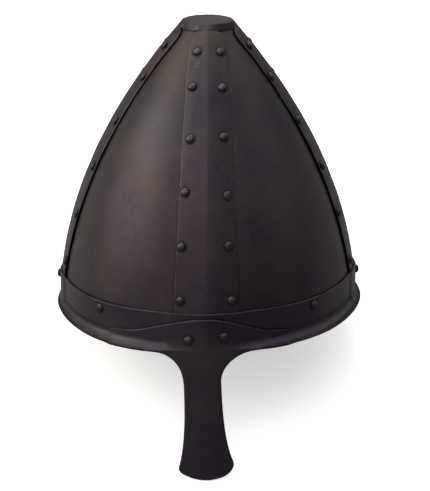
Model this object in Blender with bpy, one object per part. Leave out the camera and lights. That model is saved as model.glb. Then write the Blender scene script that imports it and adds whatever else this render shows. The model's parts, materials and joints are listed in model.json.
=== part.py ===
"""Norse iron helmet: a riveted conical bowl with a brow band, a flared rim and a nasal guard.

Four panels are held by four keeled bands, a crown cap closes the top, and the rim
and the nasal guard are one plate that laps over the brow band in front. The helmet is
modelled upright, with the face toward -Y and z = 0 at the brow line, which is the top
edge of the brow band. A parent empty then leans it back, so that it stands on the tip
of its nasal guard and on the back of its rim, as it rests on a table.
"""

from math import atan2, cos, pi, radians, sin, sqrt, tan

import bmesh
import bpy
from mathutils import Euler, Matrix, Vector

# Bowl, to the outer face of its panels
BROW_HALF_WIDTH = 0.0976
BROW_HALF_DEPTH = 0.1065
CROWN_RADIUS = 0.0150
BOWL_HEIGHT = 0.1690
# The side profile's control point, as shares of the way out and of the way up
KNEE_OUT = 0.83
KNEE_UP = 0.511

# Sheet iron, and the clearance that loose pieces keep
PANEL_SHEET = 0.0012
BAND_SHEET = 0.0012
BROW_SHEET = 0.0012
RIM_SHEET = 0.0014
GAP = 0.0003

# Panels: the seam that two of them leave under a band, and their tuck under the brow band
PANEL_SEAM = 0.0040
PANEL_TUCK = 0.0150

# Keeled bands, by distance down the bowl from the crown's edge
TONGUE_HALF_WIDTH = 0.0050
SHOULDER_HALF_WIDTH = 0.0135
BROW_END_HALF_WIDTH = 0.0214
SHOULDER_DISTANCE = 0.0160
BAND_TUCK = 0.0110
KEEL_AT_CROWN = 0.0013
KEEL_AT_BROW = 0.0014
KEEL_BOW = 0.0013

# Rivets
RIVET_RADIUS = 0.0030
RIVET_RISE = 0.0020
RIVET_SINK = 0.0006
FIRST_RIVET = 0.0200
SECOND_RIVET = 0.0455
LAST_RIVET_ABOVE_BROW = 0.0095
EVEN_RIVET_STEPS = 4
RIVET_FROM_EDGE = 0.0050
BROW_RIVET_DROP = 0.0055
BROW_RIVET_TURN = 45
NASAL_RIVET_DROP = 0.0152
NASAL_RIVET_ACROSS = 0.0117

# Crown cap
CAP_HEM = 0.0055
CAP_WALL = 0.0026
CAP_CROWN = 0.0004
CAP_CHAMFER = 0.0008
CAP_CEILING = 0.0005

# Brow band: it swells over each band that it crosses, and sits a little out of level
BROW_HEIGHT = 0.0165
BROW_ROLL = radians(1.0)
SWELL_MARGIN = 0.0005
SWELL_RAMP = 0.0060

# Rim, and the arch of its front plate over the brow band
RIM_FLANGE = 0.0010
RIM_BACK_DROP = 0.0218
RIM_FRONT_DROP = 0.0260
RIM_FLARE = 0.0024
RIM_SIDE_FLARE = 0.0008
ARCH_TOP_DROP = 0.0035
ARCH_SPAN = radians(33)
JOGGLE_SPAN = radians(8)

# Nasal guard, below the rim: its neck is set over to one side
NASAL_LENGTH = 0.0853
NASAL_NECK_HALF_WIDTH = 0.0116
NECK_SET_OVER = -0.0024
NASAL_TIP_HALF_WIDTH = 0.0165
NASAL_WIDENING = 2.8
NASAL_FILLET_DROP = 0.0160
NASAL_CORNER_RADIUS = 0.0040
NASAL_TIP_SAG = 0.0065
NASAL_LEAN = 0.0030
FLARE_FADE_ACROSS = 0.0220

# Fineness of the faceted surfaces
PANEL_COLUMNS = 14
PANEL_ROWS = 13
BAND_ROWS = 12
BAND_HALF_COLUMNS = 3
TONGUE_STEPS = (0.0, 0.06, 0.22, 0.55, 1.0)
CAP_SIDES = 32
SPAN_COLUMNS = 9
RIM_SHARES = (1.0, 0.7, 0.35, 0.0)
RIVET_SIDES = 8
# A rivet head's rings, as shares of its radius and of its rise
RIVET_SHOULDER = (1.0, 0.25)
RIVET_BROW = (0.72, 0.78)
FILLET_ROWS = 4
NASAL_ROWS = 4
CORNER_STEPS = (0.0, 0.5, 0.85, 1.0)
ARC_STEPS = 200
TURN_STEP = 0.001
SHARP_EDGE = radians(32)

FRONT = -pi / 2
RIGHT = 0.0
BACK = pi / 2
LEFT = pi
QUARTER = pi / 2

IRON = (0.060, 0.056, 0.058)
IRON_ROUGHNESS = 0.42
IRON_METALLIC = 0.9


def clear_scene():
    for item in list(bpy.data.objects):
        bpy.data.objects.remove(item, do_unlink=True)


def smooth_step(share):
    share = min(max(share, 0.0), 1.0)
    return share * share * (3 - 2 * share)


def mix(first, last, share):
    return first + (last - first) * share


# The bowl's surface

def bowl_point(angle, rise):
    """Point on the panels' outer face, at rise 0 on the brow line and 1 at the crown.

    Below 0 the wall drops straight down, by that share of the bowl's height.
    """
    t = max(rise, 0.0)
    out = (1 - t) ** 2 + 2 * t * (1 - t) * KNEE_OUT
    up = 2 * t * (1 - t) * KNEE_UP + t ** 2
    half_width = mix(CROWN_RADIUS, BROW_HALF_WIDTH, out)
    half_depth = mix(CROWN_RADIUS, BROW_HALF_DEPTH, out)
    height = BOWL_HEIGHT * (up + min(rise, 0.0))
    return Vector((half_width * cos(angle), half_depth * sin(angle), height))


def bowl_normal(angle, rise):
    around = bowl_point(angle + TURN_STEP, rise) - bowl_point(angle - TURN_STEP, rise)
    upward = bowl_point(angle, rise + TURN_STEP) - bowl_point(angle, rise - TURN_STEP)
    return around.cross(upward).normalized()


def sheet_pair(angle, rise, lift, sheet):
    """Outer and inner point of a sheet whose inner face lies this far off the panels."""
    point = bowl_point(angle, rise)
    normal = bowl_normal(angle, rise)
    return point + normal * (lift + sheet), point + normal * lift


def radius_of_turn(band_angle, rise):
    """Distance along the surface for each radian that is turned at a band's crest."""
    ends = [bowl_point(band_angle + side * TURN_STEP, rise) for side in (-1, 1)]
    return (ends[1] - ends[0]).length / (2 * TURN_STEP)


def crest_length(band_angle):
    """Length of a band's crest line, from the crown's edge down to the brow line."""
    points = [bowl_point(band_angle, step / ARC_STEPS) for step in range(ARC_STEPS + 1)]
    return sum((points[i + 1] - points[i]).length for i in range(ARC_STEPS))


def rise_at(band_angle, distance):
    """Rise of the point that lies this far down a band's crest line from the crown's edge."""
    travelled = 0.0
    point = bowl_point(band_angle, 1.0)
    for step in range(1, ARC_STEPS + 1):
        below = bowl_point(band_angle, 1.0 - step / ARC_STEPS)
        length = (below - point).length
        if travelled + length >= distance:
            return 1.0 - (step - 1 + (distance - travelled) / length) / ARC_STEPS
        travelled += length
        point = below
    return -(distance - travelled) / BOWL_HEIGHT


# Sheets of metal, as two skins and the walls that close them

def add_row(mesh, behind, pairs):
    """Add the outer points of a row, and note the inner point behind each of them."""
    row = [mesh.verts.new(outer) for outer, inner in pairs]
    behind.update({vert: inner for vert, (outer, inner) in zip(row, pairs)})
    return row


def join_rows(mesh, lower, upper, closed):
    for i in range(len(lower) if closed else len(lower) - 1):
        j = (i + 1) % len(lower)
        mesh.faces.new((lower[i], lower[j], upper[j], upper[i]))


def thicken(mesh, behind):
    """Back a skin with its inner face, and close every open border with a wall."""
    skin = list(mesh.faces)
    border = [edge for edge in mesh.edges if edge.is_boundary]
    inner = {vert: mesh.verts.new(point) for vert, point in behind.items()}
    for face in skin:
        mesh.faces.new([inner[vert] for vert in reversed(face.verts)])
    for edge in border:
        loop = edge.link_loops[0]
        start = loop.vert
        end = loop.link_loop_next.vert
        mesh.faces.new((end, start, inner[start], inner[end]))


def make_object(name, mesh, stand):
    data = bpy.data.meshes.new(name)
    mesh.to_mesh(data)
    mesh.free()
    data.shade_smooth()
    data.set_sharp_from_angle(angle=SHARP_EDGE)
    piece = bpy.data.objects.new(name, data)
    bpy.context.collection.objects.link(piece)
    piece.parent = stand
    data.materials.append(iron_material(name))
    return piece


def iron_material(name):
    material = bpy.data.materials.new(name + "_iron")
    material.use_nodes = True
    shader = material.node_tree.nodes["Principled BSDF"]
    shader.inputs["Base Color"].default_value = (*IRON, 1.0)
    shader.inputs["Roughness"].default_value = IRON_ROUGHNESS
    shader.inputs["Metallic"].default_value = IRON_METALLIC
    material.diffuse_color = (*IRON, 1.0)
    return material


def sheet_object(name, rows, closed, stand):
    """A sheet from rows of point pairs, the lowest row first and each row turning left."""
    mesh = bmesh.new()
    behind = {}
    built = [add_row(mesh, behind, row) for row in rows]
    for lower, upper in zip(built, built[1:]):
        join_rows(mesh, lower, upper, closed)
    thicken(mesh, behind)
    return make_object(name, mesh, stand)


# Rivet heads

def add_dome(mesh, place, axis):
    """A low domed head, sunk a little into the plate that it clamps."""
    turn = Vector((0, 0, 1)).rotation_difference(axis).to_matrix().to_4x4()
    frame = Matrix.Translation(place) @ turn
    rings = []
    outline = [(share, rise * RIVET_RISE) for share, rise in (RIVET_SHOULDER, RIVET_BROW)]
    for share, height in [(1.0, -RIVET_SINK)] + outline:
        ring = []
        for side in range(RIVET_SIDES):
            angle = 2 * pi * side / RIVET_SIDES
            reach = RIVET_RADIUS * share
            ring.append(mesh.verts.new(frame @ Vector((reach * cos(angle), reach * sin(angle), height))))
        rings.append(ring)
    for lower, upper in zip(rings, rings[1:]):
        join_rows(mesh, lower, upper, True)
    mesh.faces.new(rings[0][::-1])
    tip = mesh.verts.new(frame @ Vector((0, 0, RIVET_RISE)))
    for i, vert in enumerate(rings[-1]):
        mesh.faces.new((vert, rings[-1][(i + 1) % RIVET_SIDES], tip))


def add_rivets(piece, places, stand):
    """Fuse a head at each (place, axis) to the plate."""
    mesh = bmesh.new()
    for place, axis in places:
        add_dome(mesh, place, axis)
    heads = make_object(piece.name + "_heads", mesh, stand)
    heads.hide_render = True
    heads.display_type = "WIRE"
    union = piece.modifiers.new("rivets", "BOOLEAN")
    union.operation = "UNION"
    union.object = heads


# Panels

def build_panel(name, start, stand):
    """One quarter of the bowl, from the band at the start angle to the next one."""
    rises = [-PANEL_TUCK / BOWL_HEIGHT]
    rises += [row / PANEL_ROWS for row in range(PANEL_ROWS + 1)]
    rows = []
    for rise in rises:
        first = start + PANEL_SEAM / 2 / radius_of_turn(start, rise)
        last = start + QUARTER - PANEL_SEAM / 2 / radius_of_turn(start + QUARTER, rise)
        angles = [mix(first, last, column / PANEL_COLUMNS) for column in range(PANEL_COLUMNS + 1)]
        rows.append([sheet_pair(angle, rise, -PANEL_SHEET, PANEL_SHEET) for angle in angles])
    return sheet_object(name, rows, False, stand)


# Keeled bands

def band_half_width(distance, length):
    """Half the width of a band: a tongue at the cap, round shoulders, then an even taper."""
    if distance < SHOULDER_DISTANCE:
        share = max((distance - CAP_HEM) / (SHOULDER_DISTANCE - CAP_HEM), 0.0)
        return mix(TONGUE_HALF_WIDTH, SHOULDER_HALF_WIDTH, sqrt(1 - (1 - share) ** 2))
    share = (distance - SHOULDER_DISTANCE) / (length - SHOULDER_DISTANCE)
    return mix(SHOULDER_HALF_WIDTH, BROW_END_HALF_WIDTH, min(share, 1.0))


def keel_rise(distance, length):
    """Height of the crest over the band's edges, which bows outward half way down."""
    share = min(distance / length, 1.0)
    return mix(KEEL_AT_CROWN, KEEL_AT_BROW, share) + KEEL_BOW * 4 * share * (1 - share)


def band_pair(band_angle, distance, length, share):
    """Point pair on a band, at a share of its half width to the left or right of the crest."""
    rise = rise_at(band_angle, distance)
    across = share * band_half_width(distance, length)
    angle = band_angle + across / radius_of_turn(band_angle, rise)
    lift = GAP + keel_rise(distance, length) * (1 - abs(share))
    return sheet_pair(angle, rise, lift, BAND_SHEET)


def band_distances(length):
    """Rows of a band from the cap down: close together round its shoulders."""
    top = CAP_HEM + GAP
    rows = [mix(top, SHOULDER_DISTANCE, step) for step in TONGUE_STEPS]
    rows += [mix(SHOULDER_DISTANCE, length, row / BAND_ROWS) for row in range(1, BAND_ROWS + 1)]
    return rows + [length + BAND_TUCK]


def band_rivets(band_angle, length):
    """Place and axis of each rivet of a band, in two columns along its edges."""
    last = length - LAST_RIVET_ABOVE_BROW
    distances = [FIRST_RIVET]
    distances += [mix(SECOND_RIVET, last, step / EVEN_RIVET_STEPS) for step in range(EVEN_RIVET_STEPS + 1)]
    places = []
    for distance in distances:
        half = band_half_width(distance, length)
        for side in (-1, 1):
            share = side * (half - RIVET_FROM_EDGE) / half
            outer, inner = band_pair(band_angle, distance, length, share)
            places.append((outer, (outer - inner).normalized()))
    return places


def build_band(name, band_angle, stand):
    length = crest_length(band_angle)
    shares = [step / BAND_HALF_COLUMNS for step in range(-BAND_HALF_COLUMNS, BAND_HALF_COLUMNS + 1)]
    rows = []
    for distance in reversed(band_distances(length)):
        rows.append([band_pair(band_angle, distance, length, share) for share in shares])
    band = sheet_object(name, rows, False, stand)
    add_rivets(band, band_rivets(band_angle, length), stand)
    return band


# Brow band

def brow_radius(band_angle):
    """Distance along the brow line for each radian that is turned at a band's crest."""
    return BROW_HALF_WIDTH if abs(sin(band_angle)) > abs(cos(band_angle)) else BROW_HALF_DEPTH


def brow_seat(angle):
    """Lift of the brow band's inner face: over the panels, and over each band it crosses."""
    nearest = QUARTER * round(angle / QUARTER)
    across = abs(angle - nearest) * brow_radius(nearest)
    past_edge = (across - BROW_END_HALF_WIDTH - SWELL_MARGIN) / SWELL_RAMP
    keel = KEEL_AT_BROW * max(1 - across / BROW_END_HALF_WIDTH, 0.0)
    return GAP + (GAP + BAND_SHEET + keel) * smooth_step(1 - past_edge)


def wall_pair(angle, height, lift, sheet):
    """Point pair of a sheet round the upright wall below the brow line."""
    point = bowl_point(angle, 0.0)
    point.z = height + point.x * tan(BROW_ROLL)
    normal = bowl_normal(angle, -BROW_HEIGHT / BOWL_HEIGHT)
    return point + normal * (lift + sheet), point + normal * lift


def swell_columns(band_angle):
    """Angles across a band on one side of its crest, out to where the swell has faded."""
    half = BROW_END_HALF_WIDTH
    across = [half * step / BAND_HALF_COLUMNS for step in range(1, BAND_HALF_COLUMNS)]
    across += [half + SWELL_MARGIN, half + SWELL_MARGIN + SWELL_RAMP]
    return [distance / brow_radius(band_angle) for distance in across]


def ring_angles():
    """Columns of the brow band and of the rim, turning left from the front."""
    angles = []
    for quarter in range(4):
        start = FRONT + quarter * QUARTER
        first = start + swell_columns(start)[-1]
        last = start + QUARTER - swell_columns(start + QUARTER)[-1]
        angles.append(start)
        angles += [start + turn for turn in swell_columns(start)]
        angles += [mix(first, last, step / SPAN_COLUMNS) for step in range(1, SPAN_COLUMNS)]
        angles += [start + QUARTER - turn for turn in reversed(swell_columns(start + QUARTER))]
    return angles


def brow_rivets():
    """A rivet at each eighth of the brow band but the front one, which the nasal plate covers."""
    places = []
    for turn in range(BROW_RIVET_TURN, 360, BROW_RIVET_TURN):
        angle = FRONT + radians(turn)
        outer, inner = wall_pair(angle, -BROW_RIVET_DROP, brow_seat(angle), BROW_SHEET)
        places.append((outer, (outer - inner).normalized()))
    return places


def build_brow_band(stand):
    rows = []
    for height in (-BROW_HEIGHT, 0.0):
        rows.append([wall_pair(angle, height, brow_seat(angle), BROW_SHEET) for angle in ring_angles()])
    band = sheet_object("brow_band", rows, True, stand)
    add_rivets(band, brow_rivets(), stand)
    return band


# Rim and nasal guard

def off_front(angle):
    """Angle from the middle of the face, either way."""
    return abs((angle - FRONT + pi) % (2 * pi) - pi)


def rim_bottom(angle):
    """Height of the rim's lower edge, which dips toward the face."""
    forward = ((1 - sin(angle)) / 2) ** 3
    return -mix(RIM_BACK_DROP, RIM_FRONT_DROP, forward)


def rim_top(angle):
    """Height of the plate's upper edge: under the brow band, and arched over it in front."""
    butt = BROW_HEIGHT + GAP
    share = min(off_front(angle) / ARCH_SPAN, 1.0)
    return -mix(butt, ARCH_TOP_DROP, cos(pi / 2 * share) ** 2)


def rim_lift(angle, share):
    """Lift of the plate's inner face, at a share of the way from its seat to its lower edge.

    The seat follows the brow band, and stands outside it where the plate laps over it. The
    lower edge is a flare, a little wider on the right, which fades toward the nasal guard.
    """
    lap = (GAP + BROW_SHEET) * smooth_step(1 - (off_front(angle) - ARCH_SPAN) / JOGGLE_SPAN)
    seat = brow_seat(angle) + lap
    edge = brow_seat(FRONT) + lap
    beside_nasal = off_front(angle) * BROW_HALF_WIDTH - NASAL_NECK_HALF_WIDTH
    flare = RIM_FLARE + RIM_SIDE_FLARE * cos(angle)
    edge += flare * smooth_step(beside_nasal / FLARE_FADE_ACROSS)
    return mix(seat, edge, share ** 2)


def nasal_half_width(depth, root):
    """Half width below the rim: a fillet, a narrow neck, a wider tip and its round corners."""
    corner_start = NASAL_LENGTH - NASAL_CORNER_RADIUS
    if depth < NASAL_FILLET_DROP:
        share = 1 - depth / NASAL_FILLET_DROP
        return mix(root, NASAL_NECK_HALF_WIDTH, sqrt(1 - share ** 2))
    if depth < corner_start:
        share = (depth - NASAL_FILLET_DROP) / (corner_start - NASAL_FILLET_DROP)
        return mix(NASAL_NECK_HALF_WIDTH, NASAL_TIP_HALF_WIDTH, share ** NASAL_WIDENING)
    share = (depth - corner_start) / NASAL_CORNER_RADIUS
    return NASAL_TIP_HALF_WIDTH - NASAL_CORNER_RADIUS * (1 - sqrt(1 - min(share, 1.0) ** 2))


def nasal_depths():
    """Rows of the nasal guard, from just below the rim to its tip."""
    corner_start = NASAL_LENGTH - NASAL_CORNER_RADIUS
    rows = []
    for row in range(1, FILLET_ROWS + 1):
        rows.append(NASAL_FILLET_DROP * (1 - cos(pi / 2 * row / FILLET_ROWS)))
    for row in range(1, NASAL_ROWS):
        rows.append(mix(NASAL_FILLET_DROP, corner_start, row / NASAL_ROWS))
    return rows + [mix(corner_start, NASAL_LENGTH, step) for step in CORNER_STEPS]


def neck_shift(depth):
    """How far the guard's middle line is set over: most at the neck, none at the tip."""
    if depth < NASAL_FILLET_DROP:
        return NECK_SET_OVER * sqrt(depth / NASAL_FILLET_DROP)
    return NECK_SET_OVER * (NASAL_LENGTH - depth) / (NASAL_LENGTH - NASAL_FILLET_DROP)


def nasal_pair(share, depth, root):
    """Point pair of the guard, at a share of its half width from its middle line."""
    across = share * nasal_half_width(depth, root) + neck_shift(depth)
    angle = FRONT + across / BROW_HALF_WIDTH
    down = depth / NASAL_LENGTH
    height = -RIM_FRONT_DROP - depth + NASAL_TIP_SAG * share ** 2 * down ** 3
    return wall_pair(angle, height, rim_lift(angle, 1.0) + NASAL_LEAN * down ** 1.5, RIM_SHEET)


def rim_rows(angles):
    """Rows of the rim from its lower edge up."""
    seat = -(BROW_HEIGHT + GAP + RIM_FLANGE)
    rows = []
    for share in RIM_SHARES:
        row = []
        for angle in angles:
            height = mix(seat, rim_bottom(angle), share)
            row.append(wall_pair(angle, height, rim_lift(angle, share), RIM_SHEET))
        rows.append(row)
    rows.append([wall_pair(angle, rim_top(angle), rim_lift(angle, 0.0), RIM_SHEET) for angle in angles])
    return rows


def nasal_rivets():
    places = []
    for side in (-1, 1):
        angle = FRONT + side * NASAL_RIVET_ACROSS / BROW_HALF_WIDTH
        outer, inner = wall_pair(angle, -NASAL_RIVET_DROP, rim_lift(angle, 0.0), RIM_SHEET)
        places.append((outer, (outer - inner).normalized()))
    return places


def build_nasal_rim(stand):
    """The rim ring, with the guard hung from its lower edge between the ends of its fillets."""
    mesh = bmesh.new()
    behind = {}
    angles = ring_angles()
    ring = [add_row(mesh, behind, row) for row in rim_rows(angles)]
    for lower, upper in zip(ring, ring[1:]):
        join_rows(mesh, lower, upper, True)
    side = len(swell_columns(FRONT))
    columns = list(range(-side, side + 1))
    root = off_front(angles[side]) * BROW_HALF_WIDTH
    upper = [ring[0][column] for column in columns]
    for depth in nasal_depths():
        shares = [(angles[abs(column)] - FRONT) * BROW_HALF_WIDTH / root for column in columns]
        shares = [share if column > 0 else -share for share, column in zip(shares, columns)]
        lower = add_row(mesh, behind, [nasal_pair(share, depth, root) for share in shares])
        join_rows(mesh, lower, upper, False)
        upper = lower
    thicken(mesh, behind)
    plate = make_object("nasal_rim", mesh, stand)
    add_rivets(plate, nasal_rivets(), stand)
    return plate


# Crown cap

def build_crown_cap(stand):
    """A shallow dish over the tops of the panels, with a flat crown and a hem at the bands."""
    mesh = bmesh.new()
    behind = {}
    angles = [2 * pi * side / CAP_SIDES for side in range(CAP_SIDES)]
    hem = rise_at(FRONT, CAP_HEM)
    rows = [[sheet_pair(angle, rise, GAP, CAP_WALL) for angle in angles] for rise in (hem, 1.0)]
    top = []
    for angle in angles:
        outer, inner = sheet_pair(angle, 1.0, GAP, CAP_WALL)
        inward = Vector((-cos(angle), -sin(angle), 0.0)) * CAP_CHAMFER
        top.append((outer + inward + Vector((0, 0, CAP_CROWN)),
                    inner + inward + Vector((0, 0, CAP_CEILING))))
    built = [add_row(mesh, behind, row) for row in rows + [top]]
    for lower, upper in zip(built, built[1:]):
        join_rows(mesh, lower, upper, True)
    mesh.faces.new(built[-1])
    thicken(mesh, behind)
    return make_object("crown_cap", mesh, stand)


# Resting pose

def resting_tilt():
    """Lean at which the guard's tip and the back of the rim stand on one level."""
    tip_outer, tip_inner = nasal_pair(0.0, NASAL_LENGTH, NASAL_NECK_HALF_WIDTH)
    heel, heel_inner = wall_pair(BACK, rim_bottom(BACK), rim_lift(BACK, 1.0), RIM_SHEET)
    return atan2(heel.z - tip_inner.z, heel.y - tip_inner.y)


def stand_on_table(stand, pieces):
    """Lean the helmet back and set the middle of its box over the origin, on the table."""
    stand.rotation_euler = Euler((-resting_tilt(), 0, 0))
    bpy.context.view_layer.update()
    graph = bpy.context.evaluated_depsgraph_get()
    corners = []
    for piece in pieces:
        solid = piece.evaluated_get(graph)
        corners += [solid.matrix_world @ vert.co for vert in solid.to_mesh().vertices]
        solid.to_mesh_clear()
    low = [min(corner[axis] for corner in corners) for axis in range(3)]
    high = [max(corner[axis] for corner in corners) for axis in range(3)]
    stand.location = (-(low[0] + high[0]) / 2, -(low[1] + high[1]) / 2, -low[2])


def main():
    clear_scene()
    stand = bpy.data.objects.new("resting_frame", None)
    bpy.context.collection.objects.link(stand)
    pieces = [
        build_panel("panel_front_left", LEFT, stand),
        build_panel("panel_front_right", FRONT, stand),
        build_panel("panel_back_right", RIGHT, stand),
        build_panel("panel_back_left", BACK, stand),
        build_band("front_band", FRONT, stand),
        build_band("right_band", RIGHT, stand),
        build_band("back_band", BACK, stand),
        build_band("left_band", LEFT, stand),
        build_brow_band(stand),
        build_nasal_rim(stand),
        build_crown_cap(stand),
    ]
    stand_on_table(stand, pieces)


main()
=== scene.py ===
"""Norse iron helmet: the fine shape and finish of a riveted conical helmet.

The plates are modelled upright, with the face toward -Y and z = 0 at the brow line. They are
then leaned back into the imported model's frame, in which the helmet stands on the tip of its
nasal guard and on the back of its rim. Left and right are those of someone who looks at it.
"""

import json
import logging
import random
from collections.abc import Callable, Sequence
from dataclasses import dataclass, field
from enum import Enum, IntEnum
from functools import cached_property
from math import atan2, cos, pi, radians, sin, sqrt, tan

import bmesh
import bpy
from bmesh.types import BMesh, BMVert
from bpy.types import Light, Material, Node, NodeSocket, NodeTree, Object, World
from mathutils import Matrix, Vector, noise


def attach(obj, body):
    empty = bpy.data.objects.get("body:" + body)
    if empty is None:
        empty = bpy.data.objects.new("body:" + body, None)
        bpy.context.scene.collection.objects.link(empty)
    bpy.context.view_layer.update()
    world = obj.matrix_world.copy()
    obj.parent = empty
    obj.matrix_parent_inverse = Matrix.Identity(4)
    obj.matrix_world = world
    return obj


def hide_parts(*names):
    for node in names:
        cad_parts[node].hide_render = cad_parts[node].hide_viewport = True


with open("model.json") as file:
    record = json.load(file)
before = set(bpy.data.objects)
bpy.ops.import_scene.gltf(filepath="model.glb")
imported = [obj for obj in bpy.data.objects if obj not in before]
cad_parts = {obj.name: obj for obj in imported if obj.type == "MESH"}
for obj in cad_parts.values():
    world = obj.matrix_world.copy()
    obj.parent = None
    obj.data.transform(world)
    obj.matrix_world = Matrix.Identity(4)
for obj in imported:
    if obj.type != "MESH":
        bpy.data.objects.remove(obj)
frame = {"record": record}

log = logging.getLogger("helmet")

QUARTER_TURN = pi / 2
WEAR = "wear"
# Vertex attribute of painted shade and soot: darkening in seams, under lapping edges, round rivet heads and
# on the rim's lip.
SHADE_AND_SOOT = "soot"
CORNER_ANGLE = radians(50)
FACES_IN = -0.3
BODY = "root"
VECTOR = "NodeSocketVector"
FLOAT = "NodeSocketFloat"


class Quarter(Enum):
    """The four sides of the helmet, as angles round it from its right side."""

    FRONT = -pi / 2
    RIGHT = 0.0
    BACK = pi / 2
    LEFT = pi


class Side(IntEnum):
    """The two faces of a sheet, as places in its list of materials."""

    OUTER = 0
    INNER = 1


def smooth_step(share: float) -> float:
    """Ease a share from 0 to 1, flat at both ends."""
    share = min(max(share, 0.0), 1.0)
    return share * share * (3 - 2 * share)


def mix(first: float, last: float, share: float) -> float:
    """Blend two values by a share of the way from the first to the last."""
    return first + (last - first) * share


def forged(point: Vector, normal: Vector, depth: float, size: float) -> Vector:
    """Move a point in or out a little, as hammered sheet wanders.

    Args:
        point: a point of the even surface.
        normal: the direction out of the surface there.
        depth: the most that the sheet wanders either way, in metres.
        size: the width of one swelling, in metres.

    Returns:
        The moved point.
    """
    return point + normal * depth * noise.noise(point / size)


# The bowl's form, shared by every plate


@dataclass(frozen=True)
class SheetSizes:
    """Thickness of each kind of plate, and the clearance that loose plates keep."""

    panel: float = 0.0012
    band: float = 0.0012
    brow: float = 0.0012
    rim: float = 0.0014
    gap: float = 0.0003
    rounding: float = 0.00036

    @property
    def weld(self) -> float:
        """Distance within which two corners are one."""
        return self.gap / 10


@dataclass(frozen=True)
class BowlForm:
    """The outer face of the bowl's panels."""

    brow_half_width: float = 0.0976
    brow_half_depth: float = 0.1065
    crown_radius: float = 0.0150
    height: float = 0.1690
    knee_out: float = 0.83
    knee_up: float = 0.511
    turn_step: float = 0.001

    def point(self, angle: float, rise: float) -> Vector:
        """Find a point of the surface.

        Args:
            angle: direction round the bowl, in radians from its right side.
            rise: 0 on the brow line and 1 at the crown. Below 0 the wall drops straight down.

        Returns:
            The point, in metres.
        """
        t = max(rise, 0.0)
        out = (1 - t) ** 2 + 2 * t * (1 - t) * self.knee_out
        up = 2 * t * (1 - t) * self.knee_up + t ** 2
        half_width = mix(self.crown_radius, self.brow_half_width, out)
        half_depth = mix(self.crown_radius, self.brow_half_depth, out)
        height = self.height * (up + min(rise, 0.0))
        return Vector((half_width * cos(angle), half_depth * sin(angle), height))

    def normal(self, angle: float, rise: float) -> Vector:
        """Find the direction out of the surface.

        Args:
            angle: direction round the bowl.
            rise: 0 on the brow line and 1 at the crown.

        Returns:
            The direction, with a length of 1.
        """
        step = self.turn_step
        around = self.point(angle + step, rise) - self.point(angle - step, rise)
        upward = self.point(angle, rise + step) - self.point(angle, rise - step)
        return around.cross(upward).normalized()

    def lifted(self, angle: float, rise: float, lift: float) -> Vector:
        """Find the point that stands this far off the surface."""
        return self.point(angle, rise) + self.normal(angle, rise) * lift

    def radius_of_turn(self, angle: float, rise: float) -> float:
        """Measure the distance along the surface for each radian turned at an angle."""
        ends = [self.point(angle + side * self.turn_step, rise) for side in (-1, 1)]
        return (ends[1] - ends[0]).length / (2 * self.turn_step)

    def brow_radius(self, angle: float) -> float:
        """Pick the brow line's radius of turn at the quarter that an angle is nearest to."""
        return self.brow_half_width if abs(sin(angle)) > abs(cos(angle)) else self.brow_half_depth

    def outward(self, point: Vector) -> Vector:
        """Find the rough direction out of the bowl at a point near its wall."""
        return Vector((point.x, point.y, self.crown_radius)).normalized()


@dataclass(frozen=True)
class CrestLine:
    """The line down the middle of a band, measured from the crown's edge."""

    bowl: BowlForm
    angle: float
    steps: int = 400
    short_of_end: float = 1e-6

    @property
    def length(self) -> float:
        """Length of the line, down to the brow line."""
        return self.marks[-1]

    @cached_property
    def marks(self) -> list[float]:
        """Measure how far down the line each of its even steps in rise lies.

        Returns:
            The distances, from 0 at the crown's edge.
        """
        points = [self.bowl.point(self.angle, 1 - step / self.steps) for step in range(self.steps + 1)]
        travelled = [0.0]
        for above, below in zip(points, points[1:]):
            travelled.append(travelled[-1] + (below - above).length)
        return travelled

    def distance_at(self, rise: float) -> float:
        """Find how far down the line a rise lies.

        Args:
            rise: the bowl's rise, negative below the brow line.

        Returns:
            The distance from the crown's edge, in metres.
        """
        marks = self.marks
        if rise < 0:
            return marks[-1] - rise * self.bowl.height
        step = min((1 - rise) * self.steps, self.steps - self.short_of_end)
        return mix(marks[int(step)], marks[int(step) + 1], step % 1)

    def rises(self, distances: Sequence[float]) -> list[float]:
        """Find the rise at each of some distances down the line.

        Args:
            distances: distances in metres, in any order. Past the brow line they go straight down.

        Returns:
            The rise at each distance.
        """
        marks = self.marks
        found = []
        for distance in distances:
            if distance >= marks[-1]:
                found.append(-(distance - marks[-1]) / self.bowl.height)
                continue
            step = next(i for i in range(1, len(marks)) if marks[i] >= distance)
            share = (distance - marks[step - 1]) / (marks[step] - marks[step - 1])
            found.append(1 - (step - 1 + share) / self.steps)
        return found


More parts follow.
